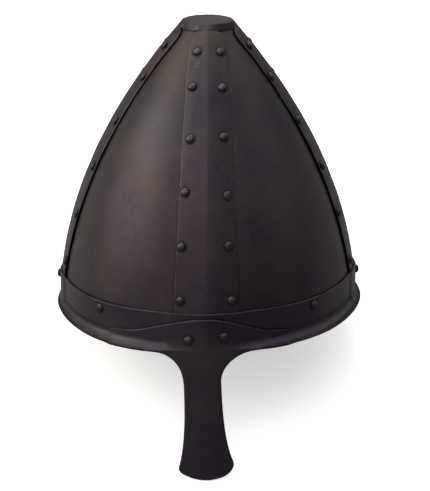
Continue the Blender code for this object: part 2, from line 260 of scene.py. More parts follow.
@dataclass(frozen=True)
class BandForm:
    """Width and keel of a band, by distance down its crest line."""

    tongue_half_width: float = 0.0050
    shoulder_half_width: float = 0.0125
    brow_end_half_width: float = 0.0214
    shoulder_distance: float = 0.0160
    cap_hem: float = 0.0042
    tuck: float = 0.0110
    keel_at_crown: float = 0.0013
    keel_at_brow: float = 0.0014
    keel_bow: float = 0.0013
    crest_round: float = 0.035

    def half_width(self, distance: float, length: float) -> float:
        """Find half the width: a tongue at the cap, round shoulders, then an even taper.

        Args:
            distance: distance down the crest line.
            length: length of the crest line.

        Returns:
            Half the width, in metres.
        """
        if distance < self.shoulder_distance:
            share = max((distance - self.cap_hem) / (self.shoulder_distance - self.cap_hem), 0.0)
            return mix(self.tongue_half_width, self.shoulder_half_width, sqrt(1 - (1 - share) ** 2))
        share = (distance - self.shoulder_distance) / (length - self.shoulder_distance)
        return mix(self.shoulder_half_width, self.brow_end_half_width, min(share, 1.0))

    def keel(self, distance: float, length: float, share: float) -> float:
        """Find how far the keel lifts the band off the bowl.

        Args:
            distance: distance down the crest line.
            length: length of the crest line.
            share: share of the half width, to the left or right of the crest.

        Returns:
            The lift, in metres: most at the crest, where it is a little round, and none at the edges.
        """
        down = min(distance / length, 1.0)
        crest = mix(self.keel_at_crown, self.keel_at_brow, down) + self.keel_bow * 4 * down * (1 - down)
        small = self.crest_round
        fall = (sqrt(share ** 2 + small ** 2) - small) / (sqrt(1 + small ** 2) - small)
        return crest * (1 - fall)


@dataclass(frozen=True)
class BrowLine:
    """The upright wall below the brow line, and how far the plates on it stand off."""

    bowl: BowlForm
    sheets: SheetSizes
    band: BandForm
    roll: float = radians(1.0)
    swell_margin: float = 0.0005
    swell_ramp: float = 0.0070

    def seat(self, angle: float) -> float:
        """Find the lift of the brow band's inner face: over panels, and over each band.

        Args:
            angle: direction round the bowl.

        Returns:
            The lift off the panels, in metres.
        """
        nearest = QUARTER_TURN * round(angle / QUARTER_TURN)
        across = abs(angle - nearest) * self.bowl.brow_radius(nearest)
        half = self.band.brow_end_half_width
        past_edge = (across - half - self.swell_margin) / self.swell_ramp
        keel = self.band.keel_at_brow * max(1 - across / half, 0.0)
        gap = self.sheets.gap
        return gap + (gap + self.sheets.band + keel) * smooth_step(1 - past_edge)

    def wall(self, angle: float, height: float, lift: float) -> Vector:
        """Find a point off the upright wall, which is a little out of level.

        Args:
            angle: direction round the bowl.
            height: height over the brow line, negative below it.
            lift: distance off the panels' outer face.

        Returns:
            The point, in metres.
        """
        point = self.bowl.point(angle, 0.0)
        point.z = height + point.x * tan(self.roll)
        return point + self.normal(angle) * lift

    def angle_of(self, point: Vector) -> float:
        """Find the direction round the bowl of a point on the wall."""
        return atan2(point.y / self.bowl.brow_half_depth, point.x / self.bowl.brow_half_width)

    def height_of(self, point: Vector) -> float:
        """Find the height of a point over the brow line, which is a little out of level."""
        return point.z - point.x * tan(self.roll)

    def normal(self, angle: float) -> Vector:
        """Find the level direction out of the wall."""
        return self.bowl.normal(angle, -self.bowl.turn_step * 2)


@dataclass(frozen=True)
class Dent:
    """A shallow mark knocked into a plate."""

    place: tuple[float, float, float]
    radius: float
    depth: float

    def push(self, point: Vector, normal: Vector) -> Vector:
        """Move a point inwards where the dent reaches it."""
        reach = (point - Vector(self.place)).length / self.radius
        return point - normal * self.depth * (1 - smooth_step(reach))


# Sheet metal, from a flat grid to a plate with worn, rounded edges


def unit_grid(columns: int, rows: int) -> BMesh:
    """Make a flat grid whose x and y run from 0 to 1.

    Args:
        columns: number of faces along x.
        rows: number of faces along y.

    Returns:
        The grid, with its faces turned up.
    """
    mesh = bmesh.new()
    bmesh.ops.create_grid(mesh, x_segments=columns, y_segments=rows, size=0.5)
    bmesh.ops.translate(mesh, verts=mesh.verts[:], vec=(0.5, 0.5, 0.0))
    return mesh


def lay(mesh: BMesh, place: Callable[[float, float], Vector]) -> None:
    """Lay a unit grid over a surface.

    Args:
        mesh: the unit grid, which is changed.
        place: gives the point of the surface for an x and a y.
    """
    for vert in mesh.verts:
        vert.co = place(vert.co.x, vert.co.y)


def blacken(mesh: BMesh, depth_of: Callable[[Vector], float]) -> None:
    """Note how dark a sheet's face is painted: soot and old oil, and painted shade where shade falls in
    seams, under lapping edges and round rivets.

    Args:
        mesh: the laid sheet, which gets the attribute of painted shade and soot.
        depth_of: gives the painted shade and soot at a point, from 0 for bare to 1 for black.
    """
    soot = mesh.verts.layers.float.new(SHADE_AND_SOOT)
    for vert in mesh.verts:
        vert[soot] = depth_of(vert.co)


def close_ring(mesh: BMesh, sheets: SheetSizes) -> None:
    """Weld the two ends of a sheet that goes all the way round."""
    border = [vert for vert in mesh.verts if vert.is_boundary]
    bmesh.ops.remove_doubles(mesh, verts=border, dist=sheets.weld)


def thicken(mesh: BMesh, sheet: float, rounding: float) -> None:
    """Give a sheet its thickness, inwards, and round and wear its edges.

    Args:
        mesh: the sheet's outer face, which becomes a closed plate.
        sheet: thickness in metres.
        rounding: how far each corner is rounded back.
    """
    bmesh.ops.solidify(mesh, geom=mesh.faces[:], thickness=sheet)
    wear = mesh.verts.layers.float.new(WEAR)
    corners = [edge for edge in mesh.edges if edge.is_manifold and edge.calc_face_angle() > CORNER_ANGLE]
    worn = bmesh.ops.bevel(mesh, geom=corners, offset=rounding, segments=2, profile=0.5,
                           affect="EDGES", material=-1)
    for vert in worn["verts"]:
        vert[wear] = 1.0


def mark_inner(mesh: BMesh, outward: Callable[[Vector], Vector]) -> None:
    """Give the faces that look into the bowl the inner finish.

    Args:
        mesh: a closed plate.
        outward: gives the direction out of the bowl at a point.
    """
    mesh.normal_update()
    for face in mesh.faces:
        if face.normal.dot(outward(face.calc_center_median())) < FACES_IN:
            face.material_index = Side.INNER


@dataclass(frozen=True)
class Rivet:
    """Where a rivet stands, and which way its head looks."""

    place: Vector
    axis: Vector


@dataclass(frozen=True)
class HeadRing:
    """The dark ring of painted shade and soot round each rivet head, where its contact shadow falls."""

    foot: float = 0.0030
    spread: float = 0.0016
    depth: float = 0.7

    def darkness(self, point: Vector, rivets: Sequence[Rivet]) -> float:
        """Find the depth of painted shade round the nearest head."""
        nearest = min((point - rivet.place).length for rivet in rivets)
        return self.depth * smooth_step(1 - (nearest - self.foot) / self.spread)


@dataclass
class RivetDie:
    """Stamps the domed heads of a plate's rivets into one mesh."""

    radius: float = 0.0030
    rise: float = 0.0020
    sink: float = 0.0005
    around: int = 20
    levels: int = 14
    lean: float = radians(4)
    spread: float = 0.05
    hammered: float = 0.00009
    facet: float = 0.0011
    rubbed: float = 0.55
    foot_shade_share: float = 0.55
    seed: int = 7
    dice: random.Random = field(init=False)

    def __post_init__(self) -> None:
        """Start the die's own row of random draws."""
        self.dice = random.Random(self.seed)

    def head(self) -> BMesh:
        """Make one head on the origin, looking up.

        Returns:
            A closed dome with its foot a little below the plate's face.
        """
        mesh = bmesh.new()
        bmesh.ops.create_uvsphere(mesh, u_segments=self.around, v_segments=self.levels, radius=1.0)
        bmesh.ops.scale(mesh, vec=(self.radius, self.radius, self.rise), verts=mesh.verts[:])
        whole = mesh.verts[:] + mesh.edges[:] + mesh.faces[:]
        bmesh.ops.bisect_plane(mesh, geom=whole, plane_co=(0, 0, -self.sink), plane_no=(0, 0, 1),
                               clear_inner=True)
        foot = [edge for edge in mesh.edges if edge.is_boundary]
        bmesh.ops.contextual_create(mesh, geom=foot)
        bmesh.ops.recalc_face_normals(mesh, faces=mesh.faces[:])
        return mesh

    def stamp(self, rivets: Sequence[Rivet]) -> BMesh:
        """Set a slightly uneven head at each rivet.

        Args:
            rivets: the places and axes.

        Returns:
            All heads as one mesh.
        """
        die = self.head()
        pattern = bpy.data.meshes.new("rivet_pattern")
        die.to_mesh(pattern)
        die.free()
        mesh = bmesh.new()
        wear = mesh.verts.layers.float.new(WEAR)
        soot = mesh.verts.layers.float.new(SHADE_AND_SOOT)
        for rivet in rivets:
            first = len(mesh.verts)
            mesh.from_mesh(pattern)
            mesh.verts.ensure_lookup_table()
            heads = mesh.verts[first:]
            for vert in heads:
                vert[wear] = self.rubbed * smooth_step(vert.co.z / self.rise)
                # Painted shade on the lower part of each head, darkest at its foot.
                vert[soot] = smooth_step(1 - vert.co.z / (self.rise * self.foot_shade_share))
            bmesh.ops.transform(mesh, matrix=self.setting(rivet), verts=heads)
            for vert in heads:
                vert.co = forged(vert.co, rivet.axis, self.hammered, self.facet)
        bpy.data.meshes.remove(pattern)
        return mesh

    def setting(self, rivet: Rivet) -> Matrix:
        """Work out where one head goes, with a little chance in its size and lean.

        Args:
            rivet: the place and axis.

        Returns:
            The matrix from the origin to the plate.
        """
        up = Vector((0, 0, 1))
        lean = Matrix.Rotation(self.dice.uniform(-self.lean, self.lean), 4, "X")
        spin = Matrix.Rotation(self.dice.uniform(0, 2 * pi), 4, "Z")
        size = Matrix.Diagonal((*(self.dice.uniform(1 - self.spread, 1 + self.spread) for _ in range(3)), 1))
        turn = up.rotation_difference(rivet.axis).to_matrix().to_4x4()
        return Matrix.Translation(rivet.place) @ turn @ lean @ spin @ size


# Finishes


@dataclass(frozen=True)
class Nick:
    """A small dark mark on a surface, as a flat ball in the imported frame."""

    place: tuple[float, float, float]
    turn: tuple[float, float, float]
    size: tuple[float, float, float]


@dataclass(frozen=True)
class IronFinish:
    """How a stretch of blackened iron looks."""

    name: str
    low_colour: tuple[float, float, float] = (0.0400, 0.0290, 0.0345)
    high_colour: tuple[float, float, float] = (0.0350, 0.0325, 0.0335)
    bloom: tuple[float, float, float] = (0.0560, 0.0405, 0.0340)
    cool: tuple[float, float, float] = (0.0290, 0.0225, 0.0340)
    bright: tuple[float, float, float] = (0.130, 0.116, 0.110)
    # black is the colour of painted shade and soot, and of the nicks.
    black: tuple[float, float, float] = (0.0050, 0.0042, 0.0048)
    metallic: float = 0.80
    roughness: float = 0.44
    roughness_swing: float = 0.10
    shade_and_soot_roughness: float = 0.25
    wear: float = 0.45
    scratches: float = 0.12
    grain: float = 0.15
    swelling: float = 0.14
    tint_heights: tuple[float, float] = (0.13, 0.20)
    rubbed_gloss: float = 0.12
    bump: float = 0.35
    bump_reach: float = 0.0006
    nick_depth: float = 0.65
    nicks: tuple[Nick, ...] = ()


@dataclass(frozen=True)
class Mottle:
    """A patchy mask: noise of this scale for each metre, with the greys that become 0 and 1."""

    scale: float
    detail: float
    low: float
    high: float


class NodeBench:
    """Adds nodes to one tree with short calls."""

    def __init__(self, tree: NodeTree) -> None:
        """Work on this tree."""
        self.tree = tree

    def add(self, kind: str, **settings: object) -> Node:
        """Add a node and set its properties.

        Args:
            kind: the node's type name, without the words ShaderNode.
            **settings: properties of the node.

        Returns:
            The node.
        """
        node = self.tree.nodes.new("ShaderNode" + kind)
        for name, value in settings.items():
            setattr(node, name, value)
        return node

    def join(self, socket: NodeSocket, value: object) -> None:
        """Link an input to another node's output, or set it.

        Args:
            socket: the input.
            value: the output, or the value.
        """
        if isinstance(value, NodeSocket):
            self.tree.links.new(value, socket)
        else:
            socket.default_value = value

    def feed(self, node: Node, **inputs: object) -> None:
        """Set or link inputs of a node, with spaces in their names written as _."""
        for name, value in inputs.items():
            self.join(node.inputs[name.replace("_", " ")], value)

    def noise(self, vector: NodeSocket, scale: float, detail: float) -> NodeSocket:
        """Add a noise texture.

        Args:
            vector: where on the surface.
            scale: swellings for each metre.
            detail: steps of finer noise.

        Returns:
            Its grey value.
        """
        node = self.add("TexNoise")
        self.feed(node, Vector=vector, Scale=scale, Detail=detail)
        return node.outputs["Fac"]

    def ramp(self, value: NodeSocket, low: float, high: float) -> NodeSocket:
        """Stretch a value, clamped and eased.

        Args:
            value: the value.
            low: what becomes 0.
            high: what becomes 1.

        Returns:
            The stretched value.
        """
        node = self.add("MapRange", interpolation_type="SMOOTHSTEP")
        self.feed(node, Value=value, From_Min=low, From_Max=high)
        return node.outputs["Result"]

    def mottle(self, vector: NodeSocket, kind: Mottle) -> NodeSocket:
        """Add a patchy mask."""
        return self.ramp(self.noise(vector, kind.scale, kind.detail), kind.low, kind.high)

    def maths(self, operation: str, *values: object) -> NodeSocket:
        """Add a Math node.

        Args:
            operation: what it works out.
            *values: its inputs, in order.

        Returns:
            The result.
        """
        node = self.add("Math", operation=operation)
        for socket, value in zip(node.inputs, values):
            self.join(socket, value)
        return node.outputs["Value"]

    def raised(self, value: NodeSocket, floor: float) -> NodeSocket:
        """Squeeze a value of 0 to 1 in between a floor and 1."""
        return self.maths("ADD", self.maths("MULTIPLY", value, 1 - floor), floor)

    def blend(self, share: object, first: object, second: object, how: str = "MIX") -> NodeSocket:
        """Mix two colours.

        Args:
            share: share of the second colour.
            first: the colour that lies below.
            second: the colour that is laid over it.
            how: Blender's name for the way of mixing.

        Returns:
            The mixed colour.
        """
        node = self.add("Mix", data_type="RGBA", blend_type=how)
        for index, value in ((0, share), (6, first), (7, second)):
            self.join(node.inputs[index], value)
        return node.outputs[2]

    def group(self, tree: NodeTree, **inputs: object) -> Node:
        """Place a node group.

        Args:
            tree: the group.
            **inputs: its inputs, by name.

        Returns:
            The placed group.
        """
        node = self.add("Group", node_tree=tree)
        self.feed(node, **inputs)
        return node


class EffectShelf:
    """Node groups for the effects that all the finishes share, each built once.

    A floor is what a mask keeps between its patches. A run of hairs is a turn and a stretch of
    their noise. A nick fades in from the first share of its radius to the second.
    """

    wear_patches: Mottle = Mottle(55.0, 3.0, 0.35, 0.68)
    wear_nibbles: Mottle = Mottle(700.0, 2.0, 0.30, 0.62)
    bloom_clouds: Mottle = Mottle(21.0, 4.0, 0.34, 0.70)
    bloom_flecks: Mottle = Mottle(260.0, 5.0, 0.36, 0.70)
    cool_clouds: Mottle = Mottle(29.0, 4.0, 0.34, 0.70)
    cool_flecks: Mottle = Mottle(190.0, 5.0, 0.36, 0.70)
    fleck_floor: float = 0.50
    shade_and_soot_patches: Mottle = Mottle(170.0, 3.0, 0.25, 0.60)
    shade_and_soot_floor: float = 0.55
    hair: Mottle = Mottle(1.0, 1.0, 0.66, 0.72)
    hair_patches: Mottle = Mottle(34.0, 2.0, 0.52, 0.66)
    hair_runs: tuple[tuple[tuple[float, float, float], tuple[float, float, float]], ...] = (
        ((0.3, 0.5, 0.4), (60.0, 1400.0, 60.0)), ((1.1, -0.2, 0.9), (1100.0, 50.0, 50.0)))
    fine_grain: tuple[float, float] = (1500.0, 3.0)
    pits: Mottle = Mottle(420.0, 2.0, 0.30, 0.42)
    swellings: tuple[float, float] = (60.0, 2.0)
    nick_reach: tuple[float, float] = (1.0, 0.3)

    def __init__(self) -> None:
        """Build every group."""
        self.edge_wear = self.build_edge_wear()
        self.bloom = self.build_clouds("brown_bloom", self.bloom_clouds, self.bloom_flecks)
        self.cool = self.build_clouds("cool_clouds", self.cool_clouds, self.cool_flecks)
        self.soot = self.build_shade_and_soot()
        self.scratches = self.build_scratches()
        self.grain = self.build_grain()
        self.nick = self.build_nick()

    def blank(self, name: str, inputs: dict[str, str],
              outputs: dict[str, str]) -> tuple[NodeBench, Node, Node]:
        """Make an empty group.

        Args:
            name: the group's name.
            inputs: socket type by input name.
            outputs: socket type by output name.

        Returns:
            The group's bench, its input node and its output node.
        """
        tree = bpy.data.node_groups.new(name, "ShaderNodeTree")
        for socket, kind in inputs.items():
            tree.interface.new_socket(socket, in_out="INPUT", socket_type=kind)
        for socket, kind in outputs.items():
            tree.interface.new_socket(socket, in_out="OUTPUT", socket_type=kind)
        return NodeBench(tree), tree.nodes.new("NodeGroupInput"), tree.nodes.new("NodeGroupOutput")

    def build_edge_wear(self) -> NodeTree:
        """Build the mask of rubbed edges: the wear attribute, broken up by noise.

        Returns:
            The group.
        """
        bench, inside, out = self.blank(
            "edge_wear", {"Vector": VECTOR, "Wear": FLOAT, "Amount": FLOAT}, {"Mask": FLOAT})
        patches = bench.mottle(inside.outputs["Vector"], self.wear_patches)
        nibbles = bench.mottle(inside.outputs["Vector"], self.wear_nibbles)
        broken = bench.maths("MULTIPLY", patches, nibbles)
        rubbed = bench.maths("MULTIPLY", inside.outputs["Wear"], broken)
        mask = bench.maths("MULTIPLY", rubbed, inside.outputs["Amount"])
        bench.feed(out, Mask=mask)
        return bench.tree

    def build_clouds(self, name: str, broad: Mottle, small: Mottle) -> NodeTree:
        """Build the mask of a tint that lies in large soft clouds with small flecks.

        Args:
            name: the group's name.
            broad: the clouds.
            small: the flecks.

        Returns:
            The group.
        """
        bench, inside, out = self.blank(name, {"Vector": VECTOR}, {"Mask": FLOAT})
        clouds = bench.mottle(inside.outputs["Vector"], broad)
        flecks = bench.raised(bench.mottle(inside.outputs["Vector"], small), self.fleck_floor)
        bench.feed(out, Mask=bench.maths("MULTIPLY", clouds, flecks))
        return bench.tree

    def build_shade_and_soot(self) -> NodeTree:
        """Build the mask of painted shade and soot in the seams, round the rivets and on the rim's lip,
        uneven along them.

        Returns:
            The group.
        """
        bench, inside, out = self.blank("seam_shade_and_soot", {"Vector": VECTOR, "Soot": FLOAT}, {"Mask": FLOAT})
        uneven = bench.raised(bench.mottle(inside.outputs["Vector"], self.shade_and_soot_patches), self.shade_and_soot_floor)
        bench.feed(out, Mask=bench.maths("MULTIPLY", inside.outputs["Soot"], uneven))
        return bench.tree

    def build_scratches(self) -> NodeTree:
        """Build the mask of fine scratches, in two crossing directions and only in patches.

        Returns:
            The group.
        """
        bench, inside, out = self.blank("fine_scratches", {"Vector": VECTOR}, {"Mask": FLOAT})
        lines = []
        for turn, stretch in self.hair_runs:
            mapping = bench.add("Mapping")
            bench.feed(mapping, Vector=inside.outputs["Vector"], Rotation=turn, Scale=stretch)
            lines.append(bench.mottle(mapping.outputs["Vector"], self.hair))
        crossing = bench.maths("MAXIMUM", *lines)
        patches = bench.mottle(inside.outputs["Vector"], self.hair_patches)
        bench.feed(out, Mask=bench.maths("MULTIPLY", crossing, patches))
        return bench.tree

    def build_grain(self) -> NodeTree:
        """Build the height of the sheet's skin: fine mill grain, small pits and soft swellings.

        Returns:
            The group.
        """
        bench, inside, out = self.blank(
            "sheet_grain", {"Vector": VECTOR, "Grain": FLOAT, "Swelling": FLOAT}, {"Height": FLOAT})
        fine = bench.noise(inside.outputs["Vector"], *self.fine_grain)
        pits = bench.mottle(inside.outputs["Vector"], self.pits)
        skin = bench.maths("MULTIPLY", bench.maths("ADD", fine, pits), inside.outputs["Grain"])
        swell = bench.maths("MULTIPLY", bench.noise(inside.outputs["Vector"], *self.swellings),
                            inside.outputs["Swelling"])
        bench.feed(out, Height=bench.maths("ADD", skin, swell))
        return bench.tree

    def build_nick(self) -> NodeTree:
        """Build the mask of one small mark: 1 at its middle and 0 from its rim on.

        Returns:
            The group.
        """
        names = ("Vector", "Location", "Rotation", "Scale")
        bench, inside, out = self.blank("nick", {name: VECTOR for name in names}, {"Mask": FLOAT})
        local = bench.add("Mapping", vector_type="TEXTURE")
        bench.feed(local, **{name: inside.outputs[name] for name in names})
        reach = bench.add("VectorMath", operation="LENGTH")
        bench.feed(reach, Vector=local.outputs["Vector"])
        bench.feed(out, Mask=bench.ramp(reach.outputs["Value"], *self.nick_reach))
        return bench.tree

    def dress(self, finish: IronFinish) -> Material:
        """Build the material of a finish.

        Args:
            finish: the finish's colours and amounts.

        Returns:
            The material, on a Principled BSDF of its own.
        """
        material = bpy.data.materials.new(finish.name)
        material.use_nodes = True
        bench = NodeBench(material.node_tree)
        shader = material.node_tree.nodes["Principled BSDF"]
        vector = bench.add("TexCoord").outputs["Object"]
        worn = bench.add("Attribute", attribute_name=WEAR).outputs["Fac"]
        # Painted shade and soot: the attribute darkens the skin toward black and roughens it.
        soot = bench.add("Attribute", attribute_name=SHADE_AND_SOOT).outputs["Fac"]
        soot = bench.group(self.soot, Vector=vector, Soot=soot).outputs["Mask"]
        cool = bench.group(self.cool, Vector=vector).outputs["Mask"]
        bloom = bench.group(self.bloom, Vector=vector).outputs["Mask"]
        wear = bench.group(self.edge_wear, Vector=vector, Wear=worn, Amount=finish.wear).outputs["Mask"]
        hair = bench.group(self.scratches, Vector=vector).outputs["Mask"]
        hair = bench.maths("MULTIPLY", hair, finish.scratches)
        rubbed = bench.maths("MAXIMUM", wear, hair)
        height = bench.add("SeparateXYZ")
        bench.feed(height, Vector=vector)
        high = bench.ramp(height.outputs["Z"], *finish.tint_heights)
        skin = bench.blend(high, (*finish.low_colour, 1.0), (*finish.high_colour, 1.0))
        skin = bench.blend(bloom, skin, (*finish.bloom, 1.0))
        skin = bench.blend(cool, skin, (*finish.cool, 1.0))
        skin = bench.blend(soot, skin, (*finish.black, 1.0))
        for nick in finish.nicks:
            mark = bench.group(self.nick, Vector=vector, Location=nick.place, Rotation=nick.turn,
                               Scale=nick.size).outputs["Mask"]
            skin = bench.blend(bench.maths("MULTIPLY", mark, finish.nick_depth), skin, (*finish.black, 1.0))
        colour = bench.blend(rubbed, skin, (*finish.bright, 1.0))
        dull = bench.maths("MULTIPLY_ADD", bloom, finish.roughness_swing, finish.roughness)
        dull = bench.maths("ADD", dull, bench.maths("MULTIPLY", soot, finish.shade_and_soot_roughness))
        gloss = bench.maths("MULTIPLY", rubbed, finish.rubbed_gloss)
        roughness = bench.maths("SUBTRACT", dull, gloss)
        relief = bench.group(self.grain, Vector=vector, Grain=finish.grain, Swelling=finish.swelling)
        bump = bench.add("Bump")
        bench.feed(bump, Strength=finish.bump, Distance=finish.bump_reach,
                   Height=relief.outputs["Height"])
        bench.feed(shader, Base_Color=colour, Roughness=roughness, Normal=bump.outputs["Normal"],
                   Metallic=finish.metallic)
        return material


# Placing finished meshes in the scene


@dataclass(frozen=True)
class Workshop:
    """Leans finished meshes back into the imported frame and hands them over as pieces."""

    resting: Matrix

    def deliver(self, mesh: BMesh, name: str, finishes: Sequence[Material],
                replaces: str | None = None) -> Object:
        """Make a piece of the scene from a mesh.

        Args:
            mesh: the finished mesh, upright. It is used up.
            name: the piece's name.
            finishes: the piece's materials, the outer one first.
            replaces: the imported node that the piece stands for, if it stands for one.

        Returns:
            The piece.
        """
        mesh.transform(self.resting)
        data = bpy.data.meshes.new(name)
        mesh.to_mesh(data)
        mesh.free()
        for finish in finishes:
            data.materials.append(finish)
        data.shade_smooth()
        piece = bpy.data.objects.new(name, data)
        bpy.context.scene.collection.objects.link(piece)
        if replaces:
            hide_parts(replaces)
        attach(piece, BODY)
        log.info("%s: %d faces", name, len(data.polygons))
        return piece


# Sub-assemblies


@dataclass(frozen=True)
class SeamShadeAndSoot:
    """How dark a plate is painted, with shade and soot, at steps away from the edge of the plate that laps
    over it.
    """

    steps: tuple[float, ...] = (-0.0005, 0.0, 0.0005, 0.0010, 0.0017)
    depths: tuple[float, ...] = (0.60, 0.55, 0.32, 0.09, 0.0)

    def depth(self, distance: float) -> float:
        """Find the depth of painted shade and soot.

        Args:
            distance: distance from the edge, negative under the lapping plate.

        Returns:
            From 0 for bare to 1 for black.
        """
        if distance <= self.steps[0]:
            return self.depths[0]
        for near, far, dark, light in zip(self.steps, self.steps[1:], self.depths, self.depths[1:]):
            if distance < far:
                return mix(dark, light, (distance - near) / (far - near))
        return 0.0


@dataclass(frozen=True)
class Panel:
    """One quarter of the bowl, between two bands."""

    name: str
    start: Quarter
    line: BrowLine
    soot: SeamShadeAndSoot = SeamShadeAndSoot()
    seam: float = 0.0040
    tuck: float = 0.0182
    lap_columns: int = 3
    field_columns: int = 80
    lap_rows: int = 10
    field_rows: int = 130
    wander: float = 0.00032
    wander_size: float = 0.045
    firm_at_brow: float = 5.0
    firm_at_crown: float = 6.0
    bulge_ramp: float = 0.0005
    bulge_drop: float = 0.0060

    @cached_property
    def crests(self) -> tuple[CrestLine, CrestLine]:
        """The crest lines of the bands at the panel's two sides."""
        first = self.start.value
        return CrestLine(self.line.bowl, first), CrestLine(self.line.bowl, first + QUARTER_TURN)

    @property
    def columns(self) -> int:
        """Number of faces across the panel."""
        return 2 * (self.lap_columns + len(self.soot.steps) - 1) + self.field_columns

    @property
    def rows(self) -> int:
        """Number of faces up the panel."""
        return self.lap_rows + len(self.soot.steps) - 1 + self.field_rows

    def heights(self) -> list[float]:
        """List the heights of the lowest rows over the brow band's upper edge, which they follow."""
        under = [mix(-self.tuck, self.soot.steps[0], row / self.lap_rows) for row in range(self.lap_rows)]
        return under + list(self.soot.steps)

    def rise_of(self, row: int, side: float) -> float:
        """Find the rise of a row.

        Args:
            row: the row, from the lower edge up.
            side: distance from the middle of the bowl toward its right side.

        Returns:
            The rise. The lowest rows keep level with the brow band's upper edge, which is rolled.
        """
        bowl = self.line.bowl
        heights = self.heights()
        if row < len(heights):
            height = heights[row] + side * tan(self.line.roll)
            return height / bowl.height if height < 0 else height / (2 * bowl.knee_up * bowl.height)
        first = self.rise_of(len(heights) - 1, side)
        return mix(first, 1.0, (row - len(heights) + 1) / self.field_rows)

    def arcs(self, crest: CrestLine, rise: float) -> list[float]:
        """List the columns nearest to a band.

        Args:
            crest: the band's crest line.
            rise: the row's rise.

        Returns:
            Distances from the crest along the bowl, from the seam to just past the band's edge.
        """
        edge = self.line.band.half_width(crest.distance_at(rise), crest.length)
        hidden = edge + self.soot.steps[0]
        laps = [mix(self.seam / 2, hidden, column / self.lap_columns) for column in range(self.lap_columns)]
        return laps + [edge + step for step in self.soot.steps]

    def angles(self, row: int) -> list[float]:
        """List the angles of a row's columns, which follow the edges of the bands on both sides.

        Args:
            row: the row, from the lower edge up.

        Returns:
            The angles, from the first band's seam to the second's.
        """
        bowl = self.line.bowl
        turns = []
        for crest in self.crests:
            rise = self.rise_of(row, bowl.brow_half_width * cos(crest.angle))
            radius = bowl.radius_of_turn(crest.angle, rise)
            turns.append([arc / radius for arc in self.arcs(crest, rise)])
        left = [self.crests[0].angle + turn for turn in turns[0]]
        right = [self.crests[1].angle - turn for turn in reversed(turns[1])]
        field = [mix(left[-1], right[0], column / self.field_columns)
                 for column in range(1, self.field_columns)]
        return left + field + right

    def place(self, angle: float, row: int) -> Vector:
        """Find a point of the panel's outer face.

        Args:
            angle: direction round the bowl.
            row: the row, from the lower edge up.

        Returns:
            The point, hammered a little uneven away from the edges.
        """
        bowl = self.line.bowl
        rise = self.rise_of(row, bowl.brow_half_width * cos(angle))
        point = bowl.point(angle, rise)
        normal = bowl.normal(angle, rise)
        free = sin(2 * (angle - self.start.value)) * smooth_step(rise * self.firm_at_brow)
        free *= smooth_step((1 - rise) * self.firm_at_crown)
        point = forged(point, normal, self.wander * free, self.wander_size)
        return point + normal * self.bulge(angle, rise)

    def bulge(self, angle: float, rise: float) -> float:
        """Find how far the hidden lower edge is hammered out to meet the brow band beside a band.

        Args:
            angle: direction round the bowl.
            rise: the bowl's rise.

        Returns:
            The lift in metres, none above the brow band's upper edge.
        """
        bowl = self.line.bowl
        nearest = QUARTER_TURN * round(angle / QUARTER_TURN)
        across = abs(angle - nearest) * bowl.brow_radius(nearest)
        past_band = (across - self.line.band.brow_end_half_width) / self.bulge_ramp
        down = bowl.brow_half_width * cos(angle) * tan(self.line.roll) - rise * bowl.height
        room = self.line.seat(angle) - self.line.sheets.gap
        return room * smooth_step(past_band) * smooth_step(down / self.bulge_drop)

    def shade_and_soot_at(self, column: int, row: int) -> float:
        """Find the depth of painted shade and soot on a corner of the grid: deepest along the bands' edges
        and the brow band's upper edge.

        Args:
            column: the corner's place across the panel.
            row: its place up the panel.

        Returns:
            From 0 for bare to 1 for black.
        """
        beside = min(column, self.columns - column) - self.lap_columns
        above = row - self.lap_rows
        depths = [self.soot.depths[max(step, 0)] for step in (beside, above) if step < len(self.soot.steps)]
        return max(depths, default=0.0)

    def build(self, workshop: Workshop, outer: Material, inner: Material) -> None:
        """Build the panel and hand it over.

        Args:
            workshop: takes the mesh.
            outer: the outer face's finish.
            inner: the inner face's finish.
        """
        sheets = self.line.sheets
        angles = [self.angles(row) for row in range(self.rows + 1)]
        mesh = unit_grid(self.columns, self.rows)
        soot = mesh.verts.layers.float.new(SHADE_AND_SOOT)
        for vert in mesh.verts:
            column, row = round(vert.co.x * self.columns), round(vert.co.y * self.rows)
            vert[soot] = self.shade_and_soot_at(column, row)
            vert.co = self.place(angles[row][column], row)
        thicken(mesh, sheets.panel, sheets.rounding)
        mark_inner(mesh, self.line.bowl.outward)
        workshop.deliver(mesh, self.name, (outer, inner), replaces=self.name)


@dataclass(frozen=True)
class BandWork:
    """What differs from one keeled band to the next: how its rivets are set, and its dents.

    The insets are the distances of the two columns from the band's edges, and the shifts move each
    rivet down and over from its even row. Both go the way round that the bowl's angles grow, and
    the shifts start at the crown.
    """

    insets: tuple[float, float] = (0.0050, 0.0050)
    shifts: tuple[tuple[float, float], ...] = ((0.0, 0.0),) * 12
    dents: tuple[Dent, ...] = ()


